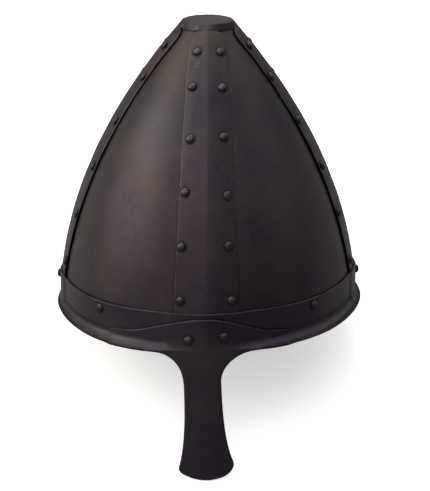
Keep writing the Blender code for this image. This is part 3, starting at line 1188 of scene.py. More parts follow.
BAND_WORK: dict[Quarter, BandWork] = {
    Quarter.FRONT: BandWork(
        shifts=((0.0004, 0.0016), (0.0004, 0.0007), (0.0002, -0.0001), (0.0009, 0.0005),
                (0.0014, 0.0006), (-0.0001, 0.0), (0.0016, -0.0010), (0.0036, 0.0004),
                (0.0017, -0.0017), (0.0009, -0.0002), (0.0011, -0.0005), (0.0007, 0.0002)),
        dents=(Dent((-0.0083, -0.0352, 0.1479), 0.0042, 0.00040),)),
    Quarter.RIGHT: BandWork(
        insets=(0.0050, 0.0036),
        shifts=((-0.0006, -0.0002), (0.0, 0.0), (-0.0010, -0.0018), (0.0, 0.0),
                (-0.0006, -0.0018), (0.0, 0.0), (0.0009, 0.0003), (0.0, 0.0),
                (0.0005, -0.0012), (0.0, 0.0), (0.0010, 0.0), (0.0, 0.0))),
    Quarter.BACK: BandWork(),
    Quarter.LEFT: BandWork(
        insets=(0.0036, 0.0050),
        shifts=((0.0, 0.0), (-0.0001, -0.0009), (0.0, 0.0), (-0.0003, 0.0012),
                (0.0, 0.0), (0.0004, 0.0006), (0.0, 0.0), (0.0013, 0.0002),
                (0.0, 0.0), (0.0017, 0.0014), (0.0, 0.0), (0.0018, 0.0010))),
}


@dataclass(frozen=True)
class KeeledBand:
    """A keeled band over the seam of two panels, with two columns of rivets."""

    name: str
    quarter: Quarter
    line: BrowLine
    work: BandWork
    soot: SeamShadeAndSoot = SeamShadeAndSoot()
    first_rivet: float = 0.0200
    second_rivet: float = 0.0455
    last_rivet_above_brow: float = 0.0095
    even_rivet_steps: int = 4
    rivet_seed: int = 100
    under_cap: float = 0.0012
    columns: int = 44
    rows: int = 190
    wander: float = 0.00022
    wander_size: float = 0.016
    edge_wander: float = 0.00030
    edge_waves: float = 60.0
    ring: HeadRing = HeadRing()

    def point(self, distance: float, rise: float, length: float, share: float) -> tuple[Vector, Vector]:
        """Find a point of the band's outer face.

        Args:
            distance: distance down the crest line.
            rise: the bowl's rise at that distance.
            length: length of the crest line.
            share: share of the half width, to the left or right of the crest.

        Returns:
            The point, and the direction out of the bowl there.
        """
        angle = self.quarter.value
        uneven = self.edge_wander * noise.noise(Vector((distance * self.edge_waves, share, angle)))
        half = self.line.band.half_width(distance, length) + uneven * abs(share)
        angle += share * half / self.line.bowl.radius_of_turn(angle, rise)
        normal = self.line.bowl.normal(angle, rise)
        lift = self.line.sheets.gap + self.line.band.keel(distance, length, share) + self.line.sheets.band
        return self.line.bowl.point(angle, rise) + normal * lift, normal

    def rivets(self) -> list[Rivet]:
        """List the rivets, in two columns along the band's edges.

        Returns:
            Where each head stands on the band.
        """
        crest = CrestLine(self.line.bowl, self.quarter.value)
        length = crest.length
        last = length - self.last_rivet_above_brow
        distances = [self.first_rivet]
        for step in range(self.even_rivet_steps + 1):
            distances.append(mix(self.second_rivet, last, step / self.even_rivet_steps))
        spots = [(distance, side, inset) for distance in distances
                 for side, inset in zip((-1, 1), self.work.insets)]
        found = []
        for (distance, side, inset), (down, over) in zip(spots, self.work.shifts):
            distance += down
            half = self.line.band.half_width(distance, length)
            share = (side * (half - inset) + over) / half
            place, normal = self.point(distance, crest.rises([distance])[0], length, share)
            found.append(Rivet(place, normal))
        return found

    def build(self, workshop: Workshop, finishes: Sequence[Material], rivet_finish: Material) -> None:
        """Build the band and its rivet heads and hand them over.

        Args:
            workshop: takes the meshes.
            finishes: the band's outer and inner finish.
            rivet_finish: the finish of the heads.
        """
        crest = CrestLine(self.line.bowl, self.quarter.value)
        length = crest.length
        top = self.line.band.cap_hem - self.under_cap
        bottom = length + self.line.band.tuck
        distances = [mix(bottom, top, row / self.rows) for row in range(self.rows + 1)]
        rises = crest.rises(distances)

        def place(across: float, up: float) -> Vector:
            """Find a point of the band's outer face.

            Args:
                across: share of the way across the band.
                up: share of the way up it.

            Returns:
                The point, in metres.
            """
            row = round(up * self.rows)
            point, normal = self.point(distances[row], rises[row], length, 2 * across - 1)
            point = forged(point, normal, self.wander, self.wander_size)
            for dent in self.work.dents:
                point = dent.push(point, normal)
            return point

        def shade_and_soot_at(point: Vector) -> float:
            """Find the depth of painted shade and soot: round the rivets and along the brow band's upper
            edge.
            """
            above_brow = self.soot.depth(self.line.height_of(point))
            return max(self.ring.darkness(point, rivets), above_brow)

        rivets = self.rivets()
        mesh = unit_grid(self.columns, self.rows)
        lay(mesh, place)
        blacken(mesh, shade_and_soot_at)
        thicken(mesh, self.line.sheets.band, self.line.sheets.rounding)
        mark_inner(mesh, self.line.bowl.outward)
        workshop.deliver(mesh, self.name, finishes, replaces=self.name)
        heads = RivetDie(seed=round(self.rivet_seed + self.quarter.value)).stamp(rivets)
        workshop.deliver(heads, self.name + "_rivets", (rivet_finish,))


@dataclass(frozen=True)
class BrowBand:
    """The band round the brow, over the lower ends of the keeled bands."""

    line: BrowLine
    height: float = 0.0165
    front_raise: float = 0.0013
    raise_span: float = radians(55)
    rivet_drop: float = 0.0046
    rivet_turn: int = 45
    rivet_seed: int = 31
    soot: SeamShadeAndSoot = SeamShadeAndSoot(depths=(0.40, 0.35, 0.18, 0.05, 0.0))
    ring: HeadRing = HeadRing()
    columns: int = 480
    rows: int = 24
    wander: float = 0.00016
    wander_size: float = 0.022

    def rivets(self) -> list[Rivet]:
        """List a rivet at each eighth of the band but the front one, which the plate covers.

        Returns:
            Where each head stands.
        """
        found = []
        for turn in range(self.rivet_turn, 360, self.rivet_turn):
            angle = Quarter.FRONT.value + radians(turn)
            lift = self.line.seat(angle) + self.line.sheets.brow
            found.append(Rivet(self.line.wall(angle, -self.rivet_drop, lift), self.line.normal(angle)))
        return found

    def place(self, around: float, up: float) -> Vector:
        """Find a point of the band's outer face, which stands a little higher in front.

        Args:
            around: share of the way round, from the front.
            up: share of the way from the lower edge to the upper one.

        Returns:
            The point, in metres.
        """
        turn = 2 * pi * (around % 1.0)
        angle = Quarter.FRONT.value + turn
        top = self.front_raise * smooth_step(1 - min(turn, 2 * pi - turn) / self.raise_span)
        lift = self.line.seat(angle) + self.line.sheets.brow
        point = self.line.wall(angle, mix(-self.height, top, up), lift)
        return forged(point, self.line.normal(angle), self.wander, self.wander_size)

    def build(self, workshop: Workshop, finishes: Sequence[Material], rivet_finish: Material,
              plate_top: Callable[[float], float]) -> None:
        """Build the band and its rivet heads and hand them over.

        Args:
            workshop: takes the meshes.
            finishes: the band's outer and inner finish.
            rivet_finish: the finish of the heads.
            plate_top: gives the height of the nasal plate's upper edge at an angle.
        """
        def shade_and_soot_at(point: Vector) -> float:
            """Find the depth of painted shade and soot: round the rivets and along the upper edge of the
            nasal plate.

            Args:
                point: a point of the band's outer face.

            Returns:
                From 0 for bare to 1 for black.
            """
            top = max(plate_top(self.line.angle_of(point)), -self.height)
            seam = self.soot.depth(self.line.height_of(point) - top)
            return max(self.ring.darkness(point, rivets), seam)

        rivets = self.rivets()
        mesh = unit_grid(self.columns, self.rows)
        lay(mesh, self.place)
        close_ring(mesh, self.line.sheets)
        blacken(mesh, shade_and_soot_at)
        thicken(mesh, self.line.sheets.brow, self.line.sheets.rounding)
        mark_inner(mesh, self.line.bowl.outward)
        workshop.deliver(mesh, "brow_band", finishes, replaces="brow_band")
        heads = RivetDie(seed=self.rivet_seed).stamp(rivets)
        workshop.deliver(heads, "brow_band_rivets", (rivet_finish,))


@dataclass(frozen=True)
class GuardFlank:
    """One side edge of the nasal guard: its root on the rim, its fillet and its lower corner."""

    side: int
    arch_span: float
    root: float
    fillet_drop: float
    fillet_power: float
    tip_half_width: float
    widest_drop: float
    widening: float
    corner_radius: float


@dataclass(frozen=True)
class NasalRim:
    """The flared rim and the nasal guard, one plate that laps over the brow band in front."""

    line: BrowLine
    brow_height: float = 0.0165
    flange: float = 0.0010
    back_drop: float = 0.0218
    front_drop: float = 0.0246
    front_sway: float = 0.0006
    side_dip: float = 0.0012
    drop_power: int = 3
    dip_power: int = 4
    flare: float = 0.0024
    side_flare: float = 0.0008
    flare_fade: float = 0.0350
    arch_top_drop: float = 0.0018
    joggle_span: float = radians(5)
    overlap: float = 0.0022
    length: float = 0.0867
    neck_half_width: float = 0.0119
    neck_set_over: float = -0.0025
    neck_drop: float = 0.0174
    tip_half_width: float = 0.0165
    tip_sag: float = 0.0055
    sag_power: int = 3
    lean: float = 0.0030
    lean_power: float = 1.5
    left: GuardFlank = GuardFlank(
        side=-1, arch_span=radians(36), root=radians(20.25), fillet_drop=0.0246, fillet_power=2.3,
        tip_half_width=0.0169, widest_drop=0.0827, widening=2.8, corner_radius=0.0018)
    right: GuardFlank = GuardFlank(
        side=1, arch_span=radians(29), root=radians(18.8), fillet_drop=0.0197, fillet_power=2.0,
        tip_half_width=0.0173, widest_drop=0.0790, widening=2.9, corner_radius=0.0060)
    edge_roll: float = 0.0008
    edge_roll_width: float = 0.0024
    edge_roll_fade: float = 0.0080
    lip_roll: float = 0.0005
    lip_share: float = 0.74
    lip_height: float = 0.0027
    lip_start: float = radians(3)
    lip_fade: float = 0.0007
    lip_shade: float = 0.85
    rivet_places: tuple[tuple[float, float], ...] = ((-0.0109, 0.0158), (0.0110, 0.0138))
    rivet_seed: int = 53
    ring: HeadRing = HeadRing()
    columns: int = 480
    plate_rows: int = 10
    flare_rows: int = 20
    guard_rows: int = 60
    corner_rows: int = 16
    wander: float = 0.00014
    wander_size: float = 0.020

    def off_front(self, angle: float) -> float:
        """Find the angle from the middle of the face, either way."""
        return abs((angle - Quarter.FRONT.value + pi) % (2 * pi) - pi)

    def flank_at(self, angle: float) -> GuardFlank:
        """Pick the side of the face that an angle is on."""
        return self.left if cos(angle) < 0 else self.right

    def bottom(self, angle: float) -> float:
        """Find the height of the rim's lower edge, which dips toward the face.

        Args:
            angle: direction round the bowl.

        Returns:
            The height over the brow line, negative below it.
        """
        forward = ((1 - sin(angle)) / 2) ** self.drop_power
        sway = self.front_sway * sin(2 * (angle - Quarter.FRONT.value)) * forward
        dip = self.side_dip * sin(2 * min(self.off_front(angle), QUARTER_TURN)) ** self.dip_power
        return sway - dip - mix(self.back_drop, self.front_drop, forward)

    def lapped(self, angle: float) -> float:
        """Find how far the plate is joggled out over the brow band, from 0 to 1."""
        past_arch = (self.off_front(angle) - self.flank_at(angle).arch_span) / self.joggle_span
        return smooth_step(1 - past_arch)

    def top(self, angle: float) -> float:
        """Find the height of the upper edge: under the brow band, and arched over it in front.

        Args:
            angle: direction round the bowl.

        Returns:
            The height over the brow line, negative below it.
        """
        butt = self.brow_height + self.line.sheets.gap - self.overlap * self.lapped(angle)
        share = min(self.off_front(angle) / self.flank_at(angle).arch_span, 1.0)
        return -mix(butt, self.arch_top_drop, cos(pi / 2 * share) ** 2)

    def lift(self, angle: float, share: float) -> float:
        """Find the lift of the plate's inner face.

        Args:
            angle: direction round the bowl.
            share: share of the way from the seat to the lower edge.

        Returns:
            The lift off the panels, in metres.
        """
        sheets = self.line.sheets
        lap = (sheets.gap + sheets.brow) * self.lapped(angle)
        seat = self.line.seat(angle) + lap
        beside = self.off_front(angle) * self.line.bowl.brow_half_width - self.neck_half_width
        flare = (self.flare + self.side_flare * cos(angle)) * smooth_step(beside / self.flare_fade)
        edge = self.line.seat(Quarter.FRONT.value) + lap + flare
        lip = max(share - self.lip_share, 0.0) / (1 - self.lip_share)
        turned = self.lip_roll * lip ** 2 * smooth_step(beside / self.flare_fade)
        return mix(seat, edge, min(share / self.lip_share, 1.0) ** 2) - turned

    def rim_point(self, angle: float, down: float) -> Vector:
        """Find a point of the rim's outer face.

        Args:
            angle: direction round the bowl.
            down: 0 on the upper edge, 1 at the seat's foot and 2 on the lower edge.

        Returns:
            The point, in metres.
        """
        foot = -(self.brow_height + self.line.sheets.gap + self.flange)
        height = mix(self.top(angle), foot, min(down, 1.0))
        share = max(down - 1.0, 0.0)
        height = mix(height, self.bottom(angle), share)
        lift = self.lift(angle, share) + self.line.sheets.rim
        return self.line.wall(angle, height, lift)

    def flank_edge(self, flank: GuardFlank, depth: float) -> float:
        """Find how far one side edge of the guard stands from the middle of the face.

        Args:
            flank: the side.
            depth: distance below the rim's lower edge in front.

        Returns:
            The distance: a sweeping fillet, a narrow neck, a wider tip and its round corner.
        """
        share = min(max((depth - self.neck_drop) / (flank.widest_drop - self.neck_drop), 0.0), 1.0)
        width = mix(self.neck_half_width, flank.tip_half_width, share ** flank.widening)
        fade = min((self.length - depth) / (self.length - self.neck_drop), 1.0)
        edge = width + flank.side * self.neck_set_over * fade
        if depth < flank.fillet_drop:
            root = flank.root * self.line.bowl.brow_half_width
            power = flank.fillet_power
            edge = mix(root, edge, (1 - (1 - depth / flank.fillet_drop) ** power) ** (1 / power))
        past = (depth - self.length) / flank.corner_radius + 1
        if past > 0:
            edge -= flank.corner_radius * (1 - sqrt(max(1 - past ** 2, 0.0)))
        return edge

    def guard_point(self, share: float, depth: float) -> Vector:
        """Find a point of the guard's outer face.

        Args:
            share: share of the way from the middle line to the left (negative) or right edge.
            depth: distance below the rim's lower edge in front.

        Returns:
            The point, with the guard's edges rolled back a little.
        """
        half = self.flank_edge(self.left if share < 0 else self.right, depth)
        angle = Quarter.FRONT.value + share * half / self.line.bowl.brow_half_width
        down = depth / self.length
        root = mix(self.bottom(angle), -self.front_drop, min(depth / self.neck_drop, 1.0))
        sag = self.tip_sag * (share * half / self.tip_half_width) ** 2 * down ** self.sag_power
        height = root - depth + sag
        inside = min((1 - abs(share)) * half / self.edge_roll_width, 1.0)
        fade = smooth_step(depth / self.neck_drop) * smooth_step((self.length - depth) / self.edge_roll_fade)
        roll = self.edge_roll * (1 - inside) ** 2 * fade
        lift = self.lift(angle, 1.0) + self.lean * down ** self.lean_power + self.line.sheets.rim - roll
        return self.line.wall(angle, height, lift)

    def guard_depths(self) -> list[float]:
        """List the guard's rows, closer together round the fillets and the tip's corners.

        Returns:
            Distances below the rim's lower edge in front.
        """
        corner = max(self.left.corner_radius, self.right.corner_radius)
        turns = [pi / 2 * step / self.corner_rows for step in range(self.corner_rows + 1)]
        rows = [self.neck_drop * (1 - cos(turn)) for turn in turns[1:]]
        rows += [mix(self.neck_drop, self.length - corner, step / self.guard_rows)
                 for step in range(1, self.guard_rows)]
        return rows + [self.length - corner * (1 - sin(turn)) for turn in turns]

    def hang_guard(self, mesh: BMesh) -> None:
        """Draw the guard out of the rim's lower edge, row by row.

        Args:
            mesh: the rim's outer face, which grows the guard.
        """
        slack = self.line.bowl.turn_step
        middle = (self.top(Quarter.FRONT.value) - self.front_drop) / 2
        row = [vert for vert in mesh.verts if vert.is_boundary and vert.co.z < middle
               and -self.left.root - slack < self.across(vert) < self.right.root + slack]
        row.sort(key=lambda vert: vert.co.x)
        turns = [self.across(vert) for vert in row]
        shares = [turn / (self.left.root if turn < 0 else self.right.root) for turn in turns]
        for depth in self.guard_depths():
            edges = [next(edge for edge in left.link_edges if edge.other_vert(left) is right)
                     for left, right in zip(row, row[1:])]
            grown = bmesh.ops.extrude_edge_only(mesh, edges=edges)
            row = sorted((item for item in grown["geom"] if isinstance(item, BMVert)),
                         key=lambda vert: vert.co.x)
            for vert, share in zip(row, shares):
                vert.co = self.guard_point(share, depth)

    def across(self, vert: BMVert) -> float:
        """Find a vertex's angle from the middle of the face, negative on the left."""
        return atan2(vert.co.x / self.line.bowl.brow_half_width, -vert.co.y / self.line.bowl.brow_half_depth)

    def rivets(self) -> list[Rivet]:
        """List the two rivets over the guard's root.

        Returns:
            Where each head stands.
        """
        found = []
        for across, drop in self.rivet_places:
            angle = Quarter.FRONT.value + across / self.line.bowl.brow_half_width
            lift = self.lift(angle, 0.0) + self.line.sheets.rim
            found.append(Rivet(self.line.wall(angle, -drop, lift), self.line.normal(angle)))
        return found

    def lip_darkness(self, point: Vector) -> float:
        """Find the depth of painted shade along the rim's turned lip, beside the guard.

        Args:
            point: a point of the plate's outer face.

        Returns:
            From 0 for bare to the lip's depth of painted shade.
        """
        angle = self.line.angle_of(point)
        above = self.line.height_of(point) - self.bottom(angle)
        past_root = self.off_front(angle) - self.flank_at(angle).root
        beside = smooth_step(past_root / self.lip_start)
        on_lip = smooth_step((self.lip_height - above) / self.lip_fade)
        return self.lip_shade * beside * on_lip

    def build(self, workshop: Workshop, finishes: Sequence[Material], rivet_finish: Material) -> None:
        """Build the plate and its rivet heads and hand them over.

        Args:
            workshop: takes the meshes.
            finishes: the plate's outer and inner finish.
            rivet_finish: the finish of the heads.
        """
        rows = self.plate_rows + self.flare_rows

        def place(around: float, up: float) -> Vector:
            """Find a point of the rim's outer face.

            Args:
                around: share of the way round, from the front.
                up: share of the way up.

            Returns:
                The point, in metres.
            """
            row = rows - round(up * rows)
            if row <= self.plate_rows:
                down = row / self.plate_rows
            else:
                down = 1 + (row - self.plate_rows) / self.flare_rows
            angle = Quarter.FRONT.value + 2 * pi * (around % 1.0)
            return self.rim_point(angle, down)

        mesh = unit_grid(self.columns, rows)
        lay(mesh, place)
        close_ring(mesh, self.line.sheets)
        self.hang_guard(mesh)
        rivets = self.rivets()
        # Painted shade round the rivet heads and along the turned lip.
        blacken(mesh, lambda point: max(self.ring.darkness(point, rivets), self.lip_darkness(point)))
        mesh.normal_update()
        for vert in mesh.verts:
            vert.co = forged(vert.co, vert.normal, self.wander, self.wander_size)
        thicken(mesh, self.line.sheets.rim, self.line.sheets.rounding)
        mark_inner(mesh, self.line.bowl.outward)
        workshop.deliver(mesh, "nasal_rim", finishes, replaces="nasal_rim")
        heads = RivetDie(seed=self.rivet_seed).stamp(rivets)
        workshop.deliver(heads, "nasal_rim_rivets", (rivet_finish,))


@dataclass(frozen=True)
class CrownCap:
    """The shallow cap over the tops of the bands, hammered down over their keels, with a flat crown."""

    bowl: BowlForm
    sheets: SheetSizes
    band: BandForm
    hem: float = 0.0042
    wall: float = 0.0026
    sheet: float = 0.00015
    rounding_share: float = 0.25
    cover: float = 0.00022
    fold_span: float = radians(27)
    fold_rise: float = 3.0
    tongue_span: float = radians(17)
    chamfer: float = 0.0008
    crown: float = 0.0023
    lip_turn: float = radians(-22)
    lip_span: float = radians(13)
    lip_lift: float = 0.0006
    columns: int = 200
    wall_rows: int = 14
    crown_rows: int = 12
    wander: float = 0.00016
    wander_size: float = 0.009

    @property
    def top_height(self) -> float:
        """Height of the flat crown over the brow line."""
        return self.bowl.height + self.crown

    def hem_lift(self, angle: float) -> float:
        """Find how far the cap's edge stands off the panels: over each keel, and lifted at the lip.

        Args:
            angle: direction round the bowl.

        Returns:
            The lift in metres.
        """
        off_crest = abs(angle - QUARTER_TURN * round(angle / QUARTER_TURN))
        share = min(off_crest / self.fold_span, 1.0)
        over_band = self.sheets.band + self.band.keel_at_crown * max(1 - off_crest / self.tongue_span, 0.0)
        off_lip = abs((angle - Quarter.FRONT.value - self.lip_turn + pi) % (2 * pi) - pi)
        lip = self.lip_lift * smooth_step(1 - off_lip / self.lip_span)
        return self.sheets.gap + self.cover + over_band * smooth_step((1 - share) * self.fold_rise) + lip

    def build(self, workshop: Workshop, finishes: Sequence[Material]) -> None:
        """Build the cap and hand it over.

        Args:
            workshop: takes the mesh.
            finishes: the cap's outer and inner finish.
        """
        hem = CrestLine(self.bowl, Quarter.FRONT.value).rises([self.hem])[0]
        full = self.sheets.gap + self.wall
        rows = self.wall_rows + self.crown_rows

        def place(around: float, up: float) -> Vector:
            """Find a point: up the wall, over the edge, and in to the middle of the crown.

            Args:
                around: share of the way round.
                up: share of the way from the hem to the middle.

            Returns:
                The point, in metres.
            """
            angle = 2 * pi * (around % 1.0)
            row = round(up * rows)
            share = min(row / self.wall_rows, 1.0)
            lift = mix(self.hem_lift(angle), full, share)
            point = self.bowl.lifted(angle, mix(hem, 1.0, share), lift)
            if row > self.wall_rows:
                inward = (row - self.wall_rows - 1) / (self.crown_rows - 1)
                rim = Vector((point.x, point.y, 0.0)).length - self.chamfer
                reach = rim * (1 - inward)
                point = Vector((reach * cos(angle), reach * sin(angle), self.top_height))
            return point

        mesh = unit_grid(self.columns, rows)
        lay(mesh, place)
        bmesh.ops.remove_doubles(mesh, verts=mesh.verts[:], dist=self.sheets.weld)
        bmesh.ops.recalc_face_normals(mesh, faces=mesh.faces[:])
        mesh.normal_update()
        for vert in mesh.verts:
            vert.co = forged(vert.co, vert.normal, self.wander, self.wander_size)
        thicken(mesh, self.sheet, self.sheet * self.rounding_share)
        mark_inner(mesh, self.bowl.outward)
        workshop.deliver(mesh, "crown_cap", finishes, replaces="crown_cap")


@dataclass(frozen=True)
class ClenchedEnds:
    """The hammered inner ends of the rivets, flat against the inside of the bowl."""

    bowl: BowlForm
    sheets: SheetSizes
    radius: float = 0.0027
    rise: float = 0.0009
    sink: float = 0.0003
    rubbed: float = 0.3
    hammered: float = 0.00016
    seed: int = 97
    steps_inward: int = 12
    halvings: int = 30
    lowest_rise: float = -0.2

    def build(self, workshop: Workshop, name: str, rivets: Sequence[Rivet], finish: Material) -> None:
        """Build the ends of one plate's rivets and hand them over.

        Args:
            workshop: takes the mesh.
            name: the piece's name.
            rivets: the heads, each of which gets an end behind it.
            finish: the finish of the ends.
        """
        ends = [Rivet(self.behind(rivet), -rivet.axis) for rivet in rivets]
        die = RivetDie(radius=self.radius, rise=self.rise, sink=self.sink, rubbed=self.rubbed,
                       hammered=self.hammered, seed=self.seed)
        workshop.deliver(die.stamp(ends), name, (finish,))

    def behind(self, rivet: Rivet) -> Vector:
        """Find the place on the panels' inner face behind a rivet head."""
        surface = self.nearest(rivet.place, rivet.axis)
        return surface - rivet.axis * self.sheets.panel

    def nearest(self, place: Vector, axis: Vector) -> Vector:
        """Follow a rivet inwards to the panels' outer face.

        Args:
            place: the rivet's place on its plate.
            axis: the direction out of the plate.

        Returns:
            The point of the bowl's surface on the rivet's axis.
        """
        reach = 0.0
        for _ in range(self.steps_inward):
            point = place - axis * reach
            reach += self.depth_outside(point)
        return place - axis * reach

    def depth_outside(self, point: Vector) -> float:
        """Measure how far a point lies outside the bowl, level with itself.

        Args:
            point: the point, in the upright helmet's frame.

        Returns:
            The distance, negative inside the bowl.
        """
        low, high = self.lowest_rise, 1.0
        for _ in range(self.halvings):
            middle = (low + high) / 2
            if self.bowl.point(0.0, middle).z < point.z:
                low = middle
            else:
                high = middle
        width = self.bowl.point(0.0, low).x
        depth = self.bowl.point(pi / 2, low).y
        share = sqrt((point.x / width) ** 2 + (point.y / depth) ** 2)
        return Vector((point.x, point.y)).length * (1 - 1 / share)


# Studio


@dataclass(frozen=True)
class PhotoCamera:
    """The camera that the photo was taken with, in the upright helmet's frame."""

    aside: float = 0.00488
    distance: float = 1.360
    height: float = 0.433
    pitch: float = radians(17.145)
    turn: float = radians(0.35)
    focal_px: float = 2068.0
    width_px: int = 430
    sensor: float = 36.0
    sees_to: float = 50.0

    def build(self, resting: Matrix) -> Object:
        """Set up the camera.

        Args:
            resting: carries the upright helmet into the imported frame.

        Returns:
            The camera's object.
        """
        data = bpy.data.cameras.new("photo_camera")
        data.sensor_fit = "HORIZONTAL"
        data.sensor_width = self.sensor
        data.lens = self.focal_px * self.sensor / self.width_px
        data.clip_end = self.sees_to
        camera = bpy.data.objects.new("photo_camera", data)
        bpy.context.scene.collection.objects.link(camera)
        camera.matrix_world = (
            resting
            @ Matrix.Rotation(self.turn, 4, "Z")
            @ Matrix.Translation((self.aside, -self.distance, self.height))
            @ Matrix.Rotation(pi / 2 - self.pitch, 4, "X")
        )
        bpy.context.scene.camera = camera
        return camera


@dataclass(frozen=True)
class SoftBox:
    """A square studio light that looks at the helmet."""

    name: str
    toward: tuple[float, float, float]
    distance: float
    size: float
    power: float
    colour: tuple[float, float, float] = (1.0, 1.0, 1.0)

    def build(self, target: Vector) -> None:
        """Hang the light.

        Args:
            target: the point that it looks at.
        """
        data: Light = bpy.data.lights.new(self.name, "AREA")
        data.shape = "SQUARE"
        data.size = self.size
        data.energy = self.power
        data.color = self.colour
        light = bpy.data.objects.new(self.name, data)
        bpy.context.scene.collection.objects.link(light)
        direction = Vector(self.toward).normalized()
        light.location = target + direction * self.distance
        light.rotation_euler = direction.to_track_quat("Z", "Y").to_euler()


@dataclass(frozen=True)
class Studio:
    """A plain pale floor and surround, and soft light from the upper left."""

    floor_half: float = 6.0
    floor_colour: float = 0.90
    floor_glow: float = 0.52
    floor_bounce: float = 0.26
    floor_roughness: float = 0.9
    backdrop: float = 0.92
    brightest_from: tuple[float, float, float] = (-0.80, 0.35, 0.45)
    fill: tuple[float, float, float] = (0.95, 0.93, 1.0)
    fill_levels: tuple[tuple[float, float], ...] = (
        (0.0, 0.05), (0.24, 0.14), (0.36, 0.27), (0.48, 0.46), (0.60, 0.66), (0.74, 0.54), (0.86, 0.31),
        (1.0, 0.46))
    target: tuple[float, float, float] = (0.0, 0.0, 0.10)
    lights: tuple[SoftBox, ...] = (
        SoftBox("key_light", (-0.86, 0.08, 0.50), 1.5, 1.0, 17.2, (1.0, 0.97, 0.86)),
        SoftBox("back_light", (-0.20, 0.55, 0.95), 2.0, 1.4, 22.0, (0.98, 1.0, 0.98)),
        SoftBox("right_fill", (0.86, 0.12, 0.50), 1.8, 1.2, 3.4, (1.0, 0.92, 1.0)),
        SoftBox("rear_fill", (0.45, 0.75, 0.70), 1.8, 1.2, 6.0),
        SoftBox("front_fill", (-0.10, -0.35, 0.93), 1.8, 1.3, 8.5, (0.96, 0.93, 1.0)),
    )

    def build(self) -> None:
        """Set up the floor, the surround and the lights."""
        scene = bpy.context.scene
        scene.view_settings.view_transform = "Standard"
        mesh = bmesh.new()
        bmesh.ops.create_grid(mesh, x_segments=1, y_segments=1, size=self.floor_half)
        data = bpy.data.meshes.new("floor")
        mesh.to_mesh(data)
        mesh.free()
        floor = bpy.data.objects.new("floor", data)
        scene.collection.objects.link(floor)
        data.materials.append(self.floor_finish())
        scene.world = self.surround()
        for light in self.lights:
            light.build(Vector(self.target))

    def surround(self) -> World:
        """Make the surround: pale to look at, and a fill that is brightest from the upper left.

        Returns:
            The world.
        """
        world = bpy.data.worlds.new("surround")
        world.use_nodes = True
        bench = NodeBench(world.node_tree)
        seen = world.node_tree.nodes["Background"]
        bench.feed(seen, Color=(self.backdrop, self.backdrop, self.backdrop, 1.0), Strength=1.0)
        toward = bench.add("VectorMath", operation="DOT_PRODUCT")
        bench.join(toward.inputs[0], bench.add("TexCoord").outputs["Generated"])
        bench.join(toward.inputs[1], Vector(self.brightest_from).normalized())
        share = bench.maths("MULTIPLY_ADD", toward.outputs["Value"], 0.5, 0.5)
        levels = bench.add("ValToRGB")
        bench.feed(levels, Fac=share)
        stops = levels.color_ramp.elements
        for position, level in self.fill_levels[1:-1]:
            stops.new(position).color = (level, level, level, 1.0)
        for stop, (_, level) in zip((stops[0], stops[-1]), (self.fill_levels[0], self.fill_levels[-1])):
            stop.color = (level, level, level, 1.0)
        lit = bench.add("Background")
        bench.feed(lit, Color=bench.blend(1.0, levels.outputs["Color"], (*self.fill, 1.0), "MULTIPLY"))
        self.shown_or_lit(bench, seen, lit, world.node_tree.nodes["World Output"])
        return world

    def floor_finish(self) -> Material:
        """Make the floor's matt finish, which shows paler than the light that it throws back.

        Returns:
            The material.
        """
        material = bpy.data.materials.new("pale_floor")
        material.use_nodes = True
        bench = NodeBench(material.node_tree)
        material.node_tree.nodes.remove(material.node_tree.nodes["Principled BSDF"])
        shades = []
        for level, glow in ((self.floor_colour, self.floor_glow), (self.floor_bounce, 0.0)):
            shade = bench.add("BsdfPrincipled")
            bench.feed(shade, Base_Color=(level, level, level, 1.0), Roughness=self.floor_roughness,
                       Emission_Strength=glow)
            shades.append(shade)
        self.shown_or_lit(bench, *shades, material.node_tree.nodes["Material Output"])
        return material

    def shown_or_lit(self, bench: NodeBench, shown: Node, lit: Node,
                     out: Node) -> None:
        """Use one shader where it is looked at and another for the light that it gives.

        Args:
            bench: the tree's bench.
            shown: the shader to look at.
            lit: the shader that gives the light.
            out: the tree's output node.
        """
        switch = bench.add("MixShader")
        looked_at = bench.add("LightPath").outputs["Is Camera Ray"]
        for socket, value in zip(switch.inputs, (looked_at, lit.outputs[0], shown.outputs[0])):
            bench.join(socket, value)
        bench.join(out.inputs["Surface"], switch.outputs[0])


def resting_matrix(cap: CrownCap) -> Matrix:
    """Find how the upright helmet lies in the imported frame, from its crown mount.

    Args:
        cap: the crown cap, whose flat top is the mount.

    Returns:
        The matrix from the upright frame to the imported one.
    """
    mount = next(item for item in frame["record"]["mounts"] if item["name"] == "crown_top")
    axis = Vector(mount["axis"])
    turn = Matrix.Rotation(-atan2(axis.y, axis.z), 4, "X")
    place = Vector(mount["pos_m"]) - turn @ Vector((0, 0, cap.top_height))
    return Matrix.Translation(place) @ turn


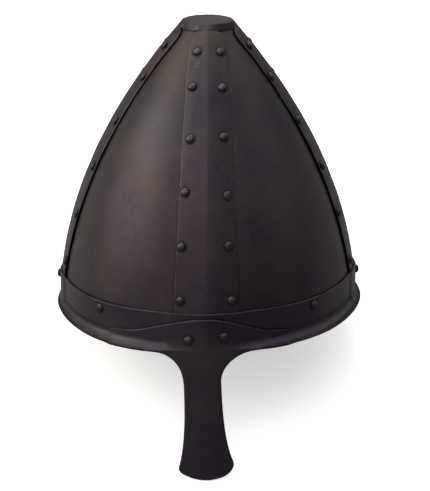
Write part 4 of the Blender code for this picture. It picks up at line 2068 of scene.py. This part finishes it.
def main() -> None:
    """Build the helmet's pieces in order, then the studio round it."""
    logging.basicConfig(level=logging.INFO, format="%(message)s")
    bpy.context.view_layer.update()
    sheets = SheetSizes()
    bowl = BowlForm()
    form = BandForm()
    line = BrowLine(bowl, sheets, form)
    cap = CrownCap(bowl, sheets, form)
    resting = resting_matrix(cap)
    workshop = Workshop(resting)
    shelf = EffectShelf()
    panel_iron = shelf.dress(IronFinish("panel_iron", nicks=(
        Nick((-0.02292, 0.04344, 0.20456), (0.131, -0.422, -0.353), (0.0019, 0.0006, 0.0015)),
        Nick((-0.02378, 0.04711, 0.20553), (0.082, -0.513, -0.280), (0.0022, 0.0004, 0.0015)))))
    band_iron = shelf.dress(IronFinish("band_iron", wear=0.38, nicks=(
        Nick((-0.00831, 0.03829, 0.21097), (0.117, -0.391, 0.065), (0.0016, 0.0007, 0.0020)),
        Nick((0.00755, 0.03626, 0.20954), (0.165, 0.118, 0.448), (0.0027, 0.0003, 0.0020)),
        Nick((0.00752, 0.03367, 0.20815), (0.183, 0.099, 0.462), (0.0023, 0.0003, 0.0020)))))
    rim_iron = shelf.dress(IronFinish("rim_iron", wear=0.34, low_colour=(0.0335, 0.0275, 0.0350),
                                      bloom=(0.0480, 0.0410, 0.0400)))
    rivet_iron = shelf.dress(IronFinish("rivet_iron", wear=0.70, roughness=0.38,
                                        low_colour=(0.0310, 0.0245, 0.0285),
                                        high_colour=(0.0300, 0.0280, 0.0290)))
    cap_iron = shelf.dress(IronFinish("cap_iron", wear=0.10))
    inner_iron = shelf.dress(IronFinish("inner_iron", wear=0.20, roughness=0.58, scratches=0.05))

    for name, start in (("panel_front_left", Quarter.LEFT), ("panel_front_right", Quarter.FRONT),
                        ("panel_back_right", Quarter.RIGHT), ("panel_back_left", Quarter.BACK)):
        Panel(name, start, line).build(workshop, panel_iron, inner_iron)
    ends = ClenchedEnds(bowl, sheets)
    for quarter in Quarter:
        name = quarter.name.lower() + "_band"
        band = KeeledBand(name, quarter, line, BAND_WORK[quarter])
        band.build(workshop, (band_iron, inner_iron), rivet_iron)
        ends.build(workshop, name + "_rivet_ends", band.rivets(), inner_iron)
    brow = BrowBand(line)
    rim = NasalRim(line)
    brow.build(workshop, (rim_iron, inner_iron), rivet_iron, rim.top)
    ends.build(workshop, "brow_band_rivet_ends", brow.rivets(), inner_iron)
    rim.build(workshop, (rim_iron, inner_iron), rivet_iron)
    cap.build(workshop, (cap_iron, inner_iron))

    PhotoCamera().build(resting)
    Studio().build()


if __name__ == "__main__":
    main()
